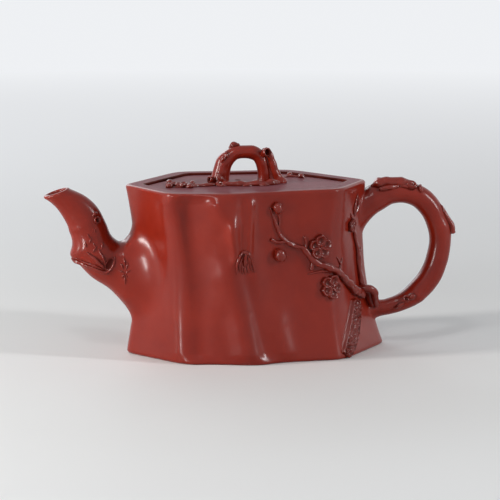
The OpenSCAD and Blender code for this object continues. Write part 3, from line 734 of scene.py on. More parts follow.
spout_rows = curve(SPOUT_ROWS, SPOUT_STEPS)
low = np.column_stack([END_X[0] - spout_rows[:, 0] * SPOUT_REACH, np.zeros(len(spout_rows)),
                       spout_rows[:, 1] * STUMP_H])
top = np.column_stack([END_X[0] + HIGH_IN - spout_rows[:, 2] * SPOUT_REACH,
                       np.zeros(len(spout_rows)), spout_rows[:, 3] * STUMP_H])
across = unit(top - low)
to_front = np.tile([0.0, -1, 0], (len(low), 1))
spout_limb = ((low + top) / 2, np.cross(across, to_front), across, to_front,
              np.linalg.norm(top - low, axis=1) / 2, spout_rows[:, 4] * SPOUT_W / 2)
body_rings = limb_rings(spout_limb, SPOUT_TURNS, SPOUT_SWELLS)
root, root_way = wall_seat(-1, *SPOUT_ROOT, SPOUT_TURNS)
along_end = unit(body_rings[-1] - body_rings[-3])
root_rings = flared(body_rings[-1], along_end, root, root_way, ROOT_RINGS, SPOUT_PULL)
# The lip is a rounded rim round the mouth, and the channel behind it thickens to the spout's wall
mouth = [part[0] for part in spout_limb]
lip_rings = [limb_ring(mouth, SPOUT_TURNS, LIP_T * (1 - math.cos(t)) / 2,
                       swell_of(0, SPOUT_TURNS, SPOUT_SWELLS) * (1 + math.cos(t)) / 2)
             - mouth[1] * LIP_T * LIP_OUT * math.sin(t) for t in np.radians((150, 120, 90, 60, 30))]
channel = [limb_ring([part[i] for part in spout_limb], SPOUT_TURNS,
                     LIP_T + (SPOUT_T - LIP_T) * min(i / SPOUT_STEPS, 1))
           for i in range(len(spout_limb[0]) - 1, -1, -3)]
BORE_IN = 2.4
bore_ring = np.array([(END_X[0] + BORE_IN, -BORE_R * math.sin(t), BORE_Z + BORE_R * math.cos(t))
                      for t in SPOUT_TURNS])
spout_skin = kneaded([*lip_rings, *body_rings, *root_rings], 0.07, 6, 3)
spout = Clay()
spout.shell([*spout_skin, *tucked(root_rings[-1], root_way, -1), bore_ring, *channel], closed=True)
spout.fired("spout", wall_clay, "pot")
on_spout = Surface(spout_skin, spout_limb)


def shown(node, finish):
    """Shows a CAD solid as it is, in its own clay."""
    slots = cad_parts[node].data.materials
    slots.clear()
    slots.append(finish)


# The pierced dome behind the bore
shown("spout_strainer", inner_clay)


# ---- The handle ----
# A solid branch bent to a loop. It is rolled by hand, thicker at its upper root, and luted to the
# stump at both ends while it is still soft.
HANDLE_REACH = 34.4
HANDLE_T = 8.6
HANDLE_W = 8.8
HANDLE_TURNS = full_turn(80)
# Each row of the loop: shares of its reach and of the stump's height, and its thickness
HANDLE_ROWS = [
    [0.088, 0.883, 1.28], [0.256, 0.914, 1.08], [0.434, 0.916, 0.98], [0.605, 0.886, 1.02],
    [0.736, 0.82, 1.02], [0.82, 0.725, 0.98], [0.857, 0.621, 1], [0.817, 0.497, 1.02],
    [0.722, 0.388, 1.04], [0.558, 0.298, 0.96], [0.392, 0.248, 0.8], [0.245, 0.225, 0.74]]
# Each root: its height as a share of the stump's, half its height and half its width in branch
# thicknesses, and its pull
HANDLE_ROOTS = [(0.806, 1.05, 0.8, (0.75, 0.8)), (0.22, 0.56, 0.56, (0.7, 0.7))]
HANDLE_RINGS = 20
HANDLE_SWELLS = [(0.49, 200, 0.04, 45, 0.7), (0.86, 280, 0.035, 40, 0.4),
                 (0.81, 250, 0.025, 40, 0.8)]

handle_limb = limb_frames([[END_X[1] + a * HANDLE_REACH, 0, b * STUMP_H, t * HANDLE_T / 2,
                            t * HANDLE_W / 2] for a, b, t in curve(HANDLE_ROWS, 12)])
grip = kneaded(limb_rings(handle_limb, HANDLE_TURNS, HANDLE_SWELLS), 0.12, 5, 4)
flares, seats = [], []
for (z, half_h, half_w, pull), flip, end, before in zip(
        HANDLE_ROOTS, (-1, 1), (grip[0], grip[-1]), (grip[2], grip[-3])):
    seats.append(wall_seat(1, z * STUMP_H, flip * half_h * HANDLE_T, -half_w * HANDLE_T,
                           HANDLE_TURNS))
    flares.append(flared(end, unit(end - before), *seats[-1], HANDLE_RINGS, pull))
handle_skin = [*flares[0][::-1], *grip, *flares[1]]
handle = Clay()
handle.shell([*tucked(*seats[0], 1)[::-1], *handle_skin, *tucked(*seats[1], 1)])
handle.fired("handle", wall_clay, "pot")
on_handle = Surface(handle_skin, handle_limb, by_turns=True)


# ---- Rolled twigs ----
# The plum branch and its twigs are thin rolls of clay. Each is pressed on to the wall, pinched to
# knots and scored like bark while it is soft. Along its foot it is painted darker as shade.
def laid(surface, rows):
    """Rows of place, place and any further numbers, as points on the surface with those numbers."""
    return np.array([[*surface.spot(row[0], row[1])[0], *row[2:]] for row in rows])


# How a roll ends: rings as shares of its radius, beyond its last row and across. The rings from
# CUP_LIP on are the inside of a hollow end, painted dark as shade.
ENDS = {
    "round": [(0.3, 0.95), (0.6, 0.8), (0.85, 0.52), (0.98, 0.2)],
    "cup": [(0.25, 1.1), (0.5, 1.12), (0.68, 1.0), (0.7, 0.84), (0.5, 0.66), (-0.1, 0.56),
            (-0.5, 0.42), (-0.6, 0.1)],
    "point": [(0.8, 0.7), (1.8, 0.3), (2.2, 0.08)]}
CUP_LIP = 4
CUP_PAINTED_SHADE = 0.25
# The lengths over which a roll's thickness and its bark change, in mm, and how much the bark
# changes round it
LUMP_LEN = 2.2
BARK_LEN = 2.6
BARK_ROUND = 1.6
ROUND = ("round", "round")
POINTED = ("point", "point")
TAPERED = ("round", "point")


def roll(clay, surface, rows, ends=ROUND, lift=0.35, rough=0.1, flat=1.0, seed=0, sides=18,
         step=0.3):
    """Rolls clay along rows of a point, a radius and a height over the surface. lift is how high
    its middle lies in radii, rough how uneven it is, and step the length of one ring in mm."""
    fine = curve(rows, 24)
    run = np.concatenate([[0], np.cumsum(np.linalg.norm(np.diff(fine[:, :3], axis=0), axis=1))])
    at = np.linspace(0, run[-1], max(int(run[-1] / step), 4) + 1)
    fine = np.stack([np.interp(at, run, fine[:, k]) for k in range(5)], 1)
    drops = [surface.drop(p) for p in fine[:, :3]]
    foot = np.array([d[0] for d in drops])
    up = unit(np.array([d[1] for d in drops]))
    radius = fine[:, 3] * (1 + 0.9 * rough * np.array(
        [noise.noise(Vector((s / LUMP_LEN, seed * 3.7, 0.5))) for s in at]))
    middle = foot + up * (lift * radius + fine[:, 4])[:, None]
    along = unit(np.gradient(middle, axis=0))
    side = unit(np.cross(along, up))
    up = np.cross(side, along)
    turns = full_turn(sides)
    bark = np.array([[noise.noise(Vector((math.cos(t) * BARK_ROUND, math.sin(t) * BARK_ROUND,
                                          s / BARK_LEN + seed))) for t in turns] for s in at])
    first, last = [
        [(middle[i] + along[i] * sign * shift * radius[i], radius[i] * scale, i,
          CUP_PAINTED_SHADE if ends[i] == "cup" and n >= CUP_LIP else None)
         for n, (shift, scale) in enumerate(ENDS[ends[i]])] for i, sign in ((0, -1), (-1, 1))]
    body = [(middle[i], radius[i], i, None) for i in range(len(at))]
    rings, polish_and_light_levels = [], []
    for centre, r, i, level in first[::-1] + body + last:
        reach = r * (1 + rough * bark[i])
        rings.append(centre + np.outer(np.sin(turns) * reach, side[i])
                     + np.outer(np.cos(turns) * reach * flat, up[i]))
        # The foot of a roll and the inside of a hollow end are painted darker as shade; the bark
        # changes the tone a little at random
        polish_and_light_levels.append(np.full(sides, level) if level else
                        np.clip(0.62 + 0.75 * np.cos(turns) + 0.5 * bark[i], 0.05, 1))
    clay.shell(rings, open_clay=np.array(polish_and_light_levels))


def twig(clay, surface, rows, ends=ROUND, **way):
    """Rolls a twig along rows of place, place, radius and, where it leaves the clay, height."""
    full = [[*row, 0.0] if len(row) == 3 else list(row) for row in rows]
    roll(clay, surface, laid(surface, full), ends, **way)


def twigs_on(clay, surface, lists, **way):
    """Rolls several twigs: the seed, roughness and rows of each."""
    for seed, rough, rows in lists:
        twig(clay, surface, rows, rough=rough, seed=seed, **way)


BRANCH_R = 1.65
branch = Clay()
twig(branch, wall, [[x, z, share * BRANCH_R] for x, z, share in (
    (42.2, 21.8, 1.1), (38.3, 24.6, 1), (34.5, 28.8, 0.95), (31.6, 32.2, 0.8), (29.5, 33.9, 0.86),
    (25.2, 36.2, 0.78), (21.2, 38, 0.86), (18.5, 41.2, 0.66), (16.4, 43.6, 0.68),
    (13.2, 44.6, 0.55), (10, 46.3, 0.52), (7.3, 49.2, 0.42), (5.7, 53.2, 0.36),
    (3.4, 59.4, 0.2))], TAPERED, lift=0.5, rough=0.24)
branch.fired("plum_branch", relief_clay, "pot")

twigs = Clay()
for seed, (rows, ends) in enumerate([
        ([[9.8, 46.6, 0.75], [6.6, 46.3, 0.72], [3.9, 47.4, 0.62]], ("round", "cup")),
        ([[17.6, 43, 0.7], [17.9, 45.2, 0.58], [17.2, 47.6, 0.62]], ROUND),
        ([[31.2, 33.4, 0.6], [32, 35.8, 0.5], [30.6, 38.6, 0.3]], TAPERED),
        ([[31.8, 35.2, 0.4], [32.6, 36.8, 0.36], [32.9, 38, 0.2]], TAPERED),
        ([[27.6, 33.6, 0.62], [24, 34.2, 0.55], [18.8, 33.4, 0.3]], TAPERED),
        ([[20.6, 38.4, 1.0], [20.2, 36.6, 0.95], [19.8, 35.4, 0.8]], ROUND)], 1):
    twig(twigs, wall, rows, ends, rough=0.16, seed=seed)
twigs.fired("plum_twigs", relief_clay, "pot")


# ---- The front's knot ----
# A flat knot of bark where the front's two ridges run together: an arch of rolled clay over short
# strokes, which are pressed on to the wall and scored with a bamboo point.
def strokes(clay, surface, lines, ends=ROUND, thin=0.6, seed=0, **way):
    """Short straight strokes of bark: x, z, x and z of their ends, and their radius."""
    for n, (x0, z0, x1, z1, size) in enumerate(lines):
        twig(clay, surface, [[x0, z0, size * thin], [(x0 + x1) / 2, (z0 + z1) / 2, size],
                             [x1, z1, size * thin]], ends, rough=0.5, seed=seed + n, **way)


front_knot = Clay()
twig(front_knot, wall, [[-10, 35.4, 0.3], [-10.2, 38.6, 0.5], [-9.4, 41.6, 0.5], [-7.9, 43.3, 0.55],
                        [-6.3, 43.5, 0.6], [-4.9, 42.2, 0.5], [-3.8, 39.4, 0.5], [-2.8, 35.6, 0.3]],
     rough=0.3, seed=31)
strokes(front_knot, wall, [
    (-7.4, 42.4, -9, 39.2, 0.42), (-6.4, 42.6, -6.9, 38.4, 0.85), (-5.7, 41.9, -4.6, 38.8, 0.42),
    (-9.2, 38.8, -8.6, 36, 0.4), (-8, 38.4, -7.7, 35.2, 0.42), (-6.8, 38, -6.6, 34.9, 0.45),
    (-5.7, 38.6, -5.2, 35.2, 0.42), (-4.6, 38.4, -3.9, 35.6, 0.38)],
    seed=32, lift=0.2, flat=0.8, sides=14)
front_knot.fired("front_knot", relief_clay, "pot", [], slot="clay_dark")


# ---- Blossoms and buds ----
# Plum blossoms of five dished petals, each pinched from its own pellet and laid over the next, with
# a heart of stamens pricked in. Buds are small drops of clay held in a cup of sepals.
# Profiles of pellets, as shares of radius and height, and of a bud, along it and across
PETAL = [(1, -0.18), (1.02, 0.3), (0.98, 0.72), (0.9, 0.97), (0.8, 1), (0.68, 0.86), (0.5, 0.68),
         (0.3, 0.5), (0.06, 0.46)]
DOME = [(1, -0.3), (1, 0.05), (0.92, 0.42), (0.72, 0.74), (0.42, 0.93), (0.08, 1)]
EGG = [(-1, 0.25), (-0.75, 0.72), (-0.35, 0.97), (0.1, 1), (0.55, 0.78), (0.85, 0.45), (1, 0.18)]
# A petal's middle and radius, the heart's radius, and a stamen's middle and radius, as shares of
# the blossom's radius. A petal's outer end is lifted by a share of its own.
PETALS, PETAL_OUT, PETAL_R, PETAL_TILT = 5, 0.56, 0.47, 0.16
HEART_R = 0.13
STAMENS, STAMEN_OUT, STAMEN_R = 9, 0.27, 0.062


def facing(surface, a, b, hint=None):
    """A place's point, the way up from it, and two ways across, the first square to the hint."""
    at, up = surface.spot(a, b)
    if hint is None:
        hint = [0, -1, 0] if abs(up[2]) > 0.7 else [0, 0, 1]
    u = unit(np.cross(hint, up))
    return at, up, u, np.cross(up, u)


def pressed(clay, surface, spot, profile, radius, height, sides, shape=None, tilt=0.0, low=0.15):
    """A pellet pressed on at a spot, from rings of its profile: share of radius and of height.
    shape stretches it by the turn and tilt lifts its outer end. low is the level of polish and
    light at its foot, which is painted darker as shade."""
    at, up, u, v = spot
    turns = full_turn(sides)
    stretch = np.ones(sides) if shape is None else shape(turns)
    rings, polish_and_light_levels = [], []
    for share, rise in profile:
        reach = radius * share * stretch
        ring = at + np.outer(np.cos(turns) * reach, u) + np.outer(np.sin(turns) * reach, v)
        base = np.array([surface.drop(p)[0] for p in ring])
        lean = height * rise + tilt * share * radius * np.cos(turns)
        rings.append(base + np.outer(lean, up))
        # The pellet is painted darker towards its foot, as shade
        polish_and_light_levels.append(np.full(sides, np.clip(low + rise * 0.95, 0, 1)))
    clay.shell(rings, open_clay=np.array(polish_and_light_levels))


def blossom(clay, surface, a, b, width, height, tilt=0.0):
    """A plum blossom of the given width, turned by the tilt in degrees. Every other petal and
    stamen lies a little higher."""
    at, up, u, v = facing(surface, a, b)
    size = width / 2
    for k in range(PETALS):
        turn = math.radians(tilt + 360 / PETALS * k)
        out = u * math.cos(turn) + v * math.sin(turn)
        pressed(clay, surface, (at + out * size * PETAL_OUT, up, out, np.cross(up, out)), PETAL,
                size * PETAL_R, height * (0.92 + 0.12 * (k % 2)), 28,
                lambda t: 1 - 0.07 * np.cos(t) + 0.05 * np.cos(5 * t + k), tilt=PETAL_TILT)
    pressed(clay, surface, (at, up, u, v), DOME, size * HEART_R, height * 0.95, 14)
    for k in range(STAMENS):
        turn = math.tau * k / STAMENS + 0.3
        out = u * math.cos(turn) + v * math.sin(turn)
        pressed(clay, surface, (at + out * size * STAMEN_OUT, up, u, v), DOME, size * STAMEN_R,
                height * (0.8 + 0.12 * (k % 2)), 8)


def bud(clay, surface, a, b, width, way, long=1.25):
    """An egg-shaped bud that lies at an angle in degrees, with a cup of sepals round its foot."""
    at, _, u, v = facing(surface, a, b)
    along = u * math.cos(math.radians(way)) + v * math.sin(math.radians(way))
    r = width / 2
    for rows, wider, rough in ((EGG, 1.0, 0.05), (EGG[:4], 1.1, 0.12)):
        roll(clay, surface, [[*(at + along * r * long * s), r * w * wider, 0] for s, w in rows],
             lift=0.55, rough=rough, flat=0.95, seed=a + b, sides=22, step=0.18)


BLOSSOM_W = 9.6
BLOSSOM_H = 1.9
for name, x, z, turn in ("blossom_upper", 23.3, 43.7, 18), ("blossom_lower", 27.6, 27.9, -8):
    flower = Clay()
    blossom(flower, wall, x, z, BLOSSOM_W, BLOSSOM_H, turn)
    flower.fired(name, relief_clay, "pot", slot="clay_relief")

top_bud = Clay()
twig(top_bud, wall, [[6.6, 51.8, 0.5], [7.1, 54.6, 0.42], [6.5, 57.6, 0.5]])
bud(top_bud, wall, 5.9, 59.9, 3.3, 105)
top_bud.fired("bud_top", relief_clay, "pot", slot="clay_relief")
round_bud = Clay()
bud(round_bud, wall, 7.2, 41.3, 4.3, -60, 1.08)
twig(round_bud, wall, [[6.4, 43.6, 0.45], [6.8, 42.6, 0.7]])
round_bud.fired("bud_ball", relief_clay, "pot", slot="clay_relief")


# ---- The side branch and its scars ----
# A thin root that climbs the stump's right corner to a half-open blossom, with a leaf-shaped scar
# above it. Both are rolled, laid on and opened with a boxwood tool.
side_branch = Clay()
twig(side_branch, wall, [
    [42.9, 24.6, 1.4], [42.4, 27.5, 1.2], [41.8, 31, 1.05], [41.3, 36, 1.15], [40.9, 40, 0.9],
    [39.8, 44, 0.85], [38.8, 48.4, 0.75], [38, 52, 0.5], [37.3, 54.4, 0.25]], TAPERED,
    rough=0.26, seed=11)
twig(side_branch, wall, [[41.4, 38.8, 1.0], [42, 39.6, 1.0]], rough=0.2, seed=12)
side_branch.fired("side_branch", relief_clay, "pot")
side_flower = Clay()
blossom(side_flower, wall, 37.5, 49.9, 5.4, 1.4, 12)
side_flower.fired("side_blossom", relief_clay, "pot", slot="clay_relief")
scar = Clay()
for bow, seed in (-0.95, 21), (0.95, 22):
    twig(scar, wall, [[40.9, 61.4, 0.22], [40.6 + bow * 0.8, 58.8, 0.5], [40.1 + bow, 56.6, 0.55],
                      [39.6 + bow * 0.6, 54.6, 0.45], [39.5, 53.2, 0.2]], POINTED, rough=0.3,
         seed=seed)
twig(scar, wall, [[40.5, 59, 0.3], [40.1, 56.5, 0.6], [39.7, 54.4, 0.3]], lift=0.0, rough=0.6,
     flat=0.5, seed=23)
scar.fired("side_scar", relief_clay, "pot")


# ---- The torn bark ----
# A long hollow at the handle's foot where a limb was torn off: a raised lip of bark round a floor
# of splinters, all modelled on one pad of clay. Its low floor and its left edge are painted dark as
# shade.
HOLLOW_ROWS = [[39.9, 20.6, 1.8], [39.6, 18.6, 4.6], [38.7, 14.5, 5.6], [37.2, 9.6, 5.4],
               [35.4, 5.4, 4.6], [33.6, 2.4, 3.2], [33, 1.3, 2.2]]
HOLLOW_ACROSS = 72
# Heights over the wall of the lip, the splinters and the pad, and how thick the pad is, in mm. Its
# lowest rows stay clear of the table.
BARK_LIP, SPLINTERS, PAD = 1.4, (0.15, 0.7), 0.12
PAD_T = 0.8
FOOT_CLEAR = 0.3
bark = Clay()
rows = curve(HOLLOW_ROWS, 22)
span = np.linspace(-1, 1, HOLLOW_ACROSS)
middles = laid(wall, rows)
ups = np.array([wall.drop(p)[1] for p in middles[:, :3]])
aside = unit(np.cross(unit(np.gradient(middles[:, :3], axis=0)), ups))
# Across the scar, from -1 to 1: its floor ends at 0.7, where the lip rises, and both edges fade
FLOOR_END, LIP_AT, LIP_HALF = 0.7, 0.74, 0.12
inside = np.clip((FLOOR_END - span) / LIP_HALF, 0, 1)
side_lip = np.exp(-((span - LIP_AT) / LIP_HALF) ** 2)
edge = np.clip(np.minimum((span + 0.78) / 0.05, (1 - span) / 0.16), 0, 1)
patch, polish_and_light_levels = [], []
for i, share in enumerate(np.linspace(0, 1, len(rows))):
    drops = [wall.drop(middles[i, :3] + aside[i] * rows[i, 2] * s) for s in span]
    base, out = np.array([d[0] for d in drops]), unit(np.array([d[1] for d in drops]))
    lip = np.clip(side_lip + 0.9 * math.exp(-((share - 0.1) / 0.05) ** 2), 0, 1)
    torn = np.array([noise.ridged_multi_fractal(
        Vector((s * 2.4 + 4, share * 13 - 1.5 * s, 2)), 0.9, 2.1, 4, 1.0, 2.0) for s in span])
    ends = min(share / 0.05, (1 - share) / 0.05, 1)
    lift = (BARK_LIP * lip * (1 - inside)
            + inside * (SPLINTERS[0] + SPLINTERS[1] * torn)) * edge * ends
    patch.append(base + out * (lift[:, None] + PAD * ends))
    patch[-1][:, 2] = np.maximum(patch[-1][:, 2], FOOT_CLEAR)
    # The low floor of splinters and the left edge are painted dark as shade, the raised lip lighter
    polish_and_light_levels.append(np.clip(0.05 + lift * 0.66 + np.clip((span - 0.8) / 0.1, 0, 0.8), 0, 1))
back = [ring - PAD_T * up * [1, 1, 0] for ring, up in zip(patch, ups)]
bark.shell([np.vstack([ring, under[::-1]]) for ring, under in zip(patch, back)],
           open_clay=np.array([np.concatenate([o, o[::-1]]) for o in polish_and_light_levels]))
bark.fired("torn_bark", relief_clay, "pot", ["bark_hollow"], slot="clay_dark")


# ---- The root loop ----
# A thin root that leaves the wall beside the handle's foot, loops out and grows into the handle.
# It is rolled and bent in the air, and pressed in at both ends.
class Air:
    """Stands for a surface where a roll of clay hangs free, with its bark's crest to the front. The
    roll is painted lighter on that side and darker, as shade, on the far side.
    """

    def drop(self, point):
        return np.array(point), unit([0.25, -0.9, 0.35])


def hung(clay, start, rows, ends=ROUND, **way):
    """Rolls clay through the air along rows of x, y and z from the start, and radius."""
    roll(clay, Air(), [[*np.add(start, row[:3]), row[3], 0] for row in rows], ends, lift=0.0, **way)


LOOP_ROWS = [
    [[-5, -7.4, 23.8, 1.6], [-2.6, -9.2, 24.1, 1.5], [-0.2, -9.4, 23.8, 1.5],
     [1.3, -8.4, 22.6, 1.5], [1.9, -7, 20.6, 1.45], [2.5, -5.4, 18.8, 1.5], [3.2, -3.4, 17, 1.7]],
    [[-3.5, -5, 23.2, 1.6], [-0.6, -5, 22.4, 1.8], [0.6, -4.4, 20, 1.9], [1.6, -3.2, 17.4, 1.9]]]
root_loop = Clay()
for rows in LOOP_ROWS:
    hung(root_loop, (END_X[1], 0, 0), rows, rough=0.14, seed=31, sides=20)
root_loop.fired("root_loop", relief_clay, "pot")


# ---- The handle's knots ----
# Stumps of twigs that were cut off the handle: short rolls with hollow ends, laid along it and
# blended in, with pinched bark round them.
# A cut ring; where it is pressed on with a low foot level, its hollow middle is painted dark as
# shade
RING = [(1, -0.3), (1, 0.4), (0.9, 0.85), (0.72, 1), (0.55, 0.8), (0.46, 0.25), (0.1, 0.12)]
log = Clay()
twig(log, on_handle, [[0.02, 196, 0.8], [0.055, 199, 2.4], [0.09, 202, 2.2], [0.13, 205, 2.0],
                      [0.165, 208, 2.0], [0.19, 211, 1.7], [0.215, 213, 1.2]],
     lift=0.12, rough=0.14, seed=41, sides=26)
pressed(log, on_handle, facing(on_handle, 0.2, 222, [0, -1, 0.4]), RING, 2.1, 2.1, 36, low=-0.05)
twigs_on(log, on_handle, [
    (42, 0.3, [[0.05, 232, 0.9], [0.09, 236, 1.1], [0.13, 233, 0.8]]),
    (47, 0.3, [[0.15, 232, 0.5], [0.19, 229, 0.9], [0.225, 225, 0.6]]),
    (43, 0.2, [[0.255, 235, 0.7], [0.245, 215, 0.9], [0.25, 195, 0.6]])])
log.fired("handle_top_knot", relief_clay, "pot")
stub = Clay()
twig(stub, on_handle, [[0.385, 206, 0.5], [0.435, 204, 1.0], [0.478, 202, 1.3],
                       [0.506, 200, 1.35]], ("point", "cup"), lift=0.15, seed=44, sides=26)
stub.fired("handle_side_stub", relief_clay, "pot")
low_knot = Clay()
for share, turn, profile, size, height in (
        (0.868, 286, RING, 1.5, 1.0), (0.838, 281, DOME, 1.6, 1.5)):
    spot = facing(on_handle, share, turn, [0, 0, 1])
    pressed(low_knot, on_handle, spot, profile, size, height, 32)
twig(low_knot, on_handle, [[0.9, 272, 0.5], [0.93, 266, 0.8], [0.955, 262, 0.5]], rough=0.4,
     seed=46)
low_knot.fired("handle_lower_knot", relief_clay, "pot", slot="clay_dark")


# ---- The spout's bark ----
# A torn fold of bark round the elbow, which ends in a hollow where a side shoot broke off, and the
# ring of a cut twig above it.
HOLE = [(1, -0.4), (1, 0.6), (0.9, 1), (0.78, 0.7), (0.7, 0.14), (0.1, 0.12)]
fold = Clay()
twigs_on(fold, on_spout, [
    (51, 0.35, [[-69.6, 37.6, 0.4], [-67.3, 36.6, 0.85], [-63, 35, 0.75], [-60.5, 34, 0.95],
                [-58, 33, 0.9], [-56.4, 33.4, 0.6], [-55, 35.2, 0.45], [-54.2, 37.2, 0.4],
                [-53.8, 39, 0.2]]),
    (50, 0.4, [[-68.4, 38.1, 0.2], [-64.6, 36.6, 0.5], [-61, 35.3, 0.5], [-58.6, 34.3, 0.4]])],
    ends=POINTED)
twigs_on(fold, on_spout, [
    (52, 0.4, [[-64.2, 40.6, 0.3], [-62.4, 39, 0.6], [-60.2, 37.2, 0.75], [-58.6, 35.3, 0.7]]),
    (53, 0.4, [[-60, 41.6, 0.25], [-58.7, 38.9, 0.6], [-57.8, 36.4, 0.6]])],
    ends=("point", "round"))
# The hollow that the side shoot left leans towards the stump, and is narrower across. Its floor is
# painted dark as shade.
at, up = on_spout.spot(-56, 36.3)
lean = unit(np.array([0.55, 0, 1]) - up * np.dot([0.55, 0, 1], up))
pressed(fold, on_spout, (at, up, lean, np.cross(up, lean)), HOLE, 3.1, 0.55, 40,
        lambda t: 1 / np.hypot(np.cos(t), 2.1 * np.sin(t)), low=-0.08)
STROKE_R = 0.36
STROKE_END = 0.16
strokes(fold, on_spout, [(*line, STROKE_R) for line in (
    (-64.2, 47.9, -63.2, 46), (-62.7, 46.6, -63.7, 44.5), (-62.2, 44.3, -60.9, 42.1),
    (-60.7, 43.2, -62.5, 41), (-60, 42, -59.3, 39.4), (-65.4, 45, -64.8, 43),
    (-58.6, 44.5, -58.9, 42.2), (-61.6, 49.8, -61.2, 48), (-50.4, 38.6, -50.2, 35.8),
    (-51.6, 36.4, -50.8, 34.2), (-49, 36.6, -49.8, 34.4), (-52.4, 33.8, -50.7, 33),
    (-48.2, 34, -49.8, 33), (-51.4, 31.2, -50.6, 32.4), (-49.2, 31, -49.9, 32.4),
    (-50.2, 31.6, -50.1, 28.6))], POINTED, STROKE_END / STROKE_R, 55, lift=0.1,
        sides=12)
fold.fired("spout_bark_fold", relief_clay, "pot", ["spout_collar"])
ring_knot = Clay()
at, up = on_spout.spot(-60.5, 53)
pressed(ring_knot, on_spout, (at, up, np.cross(up, [0, 0, 1]), np.array([0, 0, 1])), RING, 1.6,
        0.9, 32, low=-0.05)
twig(ring_knot, on_spout, [[-62, 54.8, 0.4], [-61.4, 55.4, 0.8], [-60.6, 55.6, 0.5]], rough=0.2,
     seed=69)
ring_knot.fired("spout_knot", relief_clay, "pot", slot="clay_dark")


# ---- The lid ----
# A six-sided slab sawn like the top of a stump, with a small vent behind the knob. It lies in the
# crown's recess, a little below the rim.
LID_GAP = 0.35
LID_R = 0.5
VENT = (-3.0, 11.0)
VENT_R = 1.1
VENT_SOFT = 0.3
LID_COLUMNS = 360
LID_RINGS = 56
lid_angles = full_turn(LID_COLUMNS) - math.pi


def vent_ring(radius, z):
    return at_height(np.stack([VENT[0] + radius * np.cos(lid_angles),
                               VENT[1] + radius * np.sin(lid_angles)], 1), z)


def lid_ring(inset, z):
    return at_height(lid_loop(RIM_W + LID_GAP + inset, lid_angles, VENT), z)


lid_edge = [lid_ring(LID_R * (1 - math.cos(t)), LID_TOP - LID_R * (1 - math.sin(t)))
            for t in np.radians((0, 22, 45, 68, 90))]
vent_edge = [vent_ring(VENT_R + VENT_SOFT * (1 - math.cos(t)),
                       LID_TOP - VENT_SOFT * (1 - math.sin(t))) for t in np.radians((90, 45, 0))]
face = [lid_edge[-1] + (vent_edge[0] - lid_edge[-1]) * t
        for t in np.linspace(0, 1, LID_RINGS)[1:-1]]
face = sanded_flat(face, 0.05, 6, 5)
lid = Clay()
rings = np.array([lid_ring(0, LID_FLOOR), *lid_edge, *face, *vent_edge,
                  vent_ring(VENT_R, LID_FLOOR)])
# The clay is polished on the face, and is dry and painted dark as shade on the edge, which lies in
# the recess, and in the vent
polish_and_light_levels = np.ones(rings.shape[:2])
polish_and_light_levels[:7] = np.array([[0.15], [0.15], [0.15], [0.2], [0.2], [0.3], [0.8]])
polish_and_light_levels[-3:] = 0.15
lid.shell(rings, closed=True, open_clay=polish_and_light_levels,
          sanded=(1 + len(lid_edge), 1 + len(lid_edge) + len(face)))
lid.fired("lid_slab", wall_clay, "lid", second=top_clay_painted_sheen)


class LidTop:
    """The flat top of the lid as a surface that clay is laid on. A place on it is its x and y."""

    def spot(self, a, b):
        return np.array([a, b, LID_TOP]), np.array([0.0, 0, 1])

    def drop(self, point):
        return self.spot(point[0], point[1])


on_lid = LidTop()

# The locating ring below the slab
shown("lid_flange", inner_clay)


# ---- The knob ----
# A thick twig bent to an arch, with a second root down its right foot, a hollow cut end and small
# pinched knots. It is luted to the lid, and its feet are drawn out over it.
KNOB_MID = (-3.0, 2.0)
KNOB_SPAN = 16.5
KNOB_H = 14.5
KNOB_T = 4.8
KNOB_TURNS = full_turn(56)
KNOB_ROWS = [[-0.53, 0, 1.5], [-0.49, 0.28, 1.42], [-0.4, 0.58, 1.3], [-0.17, 0.81, 1.08],
             [0.15, 0.84, 1.05], [0.41, 0.72, 1.06], [0.52, 0.35, 0.98], [0.54, 0, 1.05]]
knob_limb = limb_frames([[KNOB_MID[0] + a * KNOB_SPAN, KNOB_MID[1], LID_TOP + b * KNOB_H,
                          t * KNOB_T / 2, t * KNOB_T / 2] for a, b, t in curve(KNOB_ROWS, 12)])
KNOB_SWELLS = [(0.3, 200, 0.05, 60, 0.35), (0.62, 200, 0.05, 60, 0.5)]
# So many rings of the arch give way to the flare of a foot at either end. A foot is at most this
# wide before it spreads, in knob thicknesses, and each has its place in spans and its spread in mm
FOOT_CUT = 9
FOOT_RINGS = 14
FOOT_PULL = (0.7, 0.7)
FOOT_MOST = 0.7
LEFT_FOOT, RIGHT_FOOT = (-0.53, 1.0), (0.505, 0.7)
arch = kneaded(limb_rings(knob_limb, KNOB_TURNS, KNOB_SWELLS)[FOOT_CUT:-FOOT_CUT], 0.1, 2.6, 6)


def foot_on_lid(ring, before, x, spread_by):
    """The flare of a foot, from a ring above the lid down on to the lid and a little into it."""
    spread = unit((ring - ring.mean(axis=0)) * (1, 1, 0))
    reach = np.linalg.norm((ring - ring.mean(axis=0)) * (1, 1, 0), axis=1)[:, None]
    lying = (np.array([KNOB_MID[0] + x * KNOB_SPAN, KNOB_MID[1], LID_TOP])
             + spread * (np.minimum(reach, KNOB_T * FOOT_MOST) + spread_by))
    rings = flared(ring, unit(ring - before), lying, spread, FOOT_RINGS, FOOT_PULL)
    return [*rings, lying + spread * 0.4 - (0, 0, 0.12), lying - (0, 0, 0.8)]


left_foot = foot_on_lid(arch[0], arch[2], *LEFT_FOOT)
right_foot = foot_on_lid(arch[-1], arch[-3], *RIGHT_FOOT)
knob = Clay()
knob_skin = [*left_foot[:-2][::-1], *arch, *right_foot[:-2]]
knob.shell([*left_foot[-2:][::-1], *knob_skin, *right_foot[-2:]])
knob.fired("knob", wall_clay, "lid")
on_knob = Surface(knob_skin, knob_limb, by_turns=True)

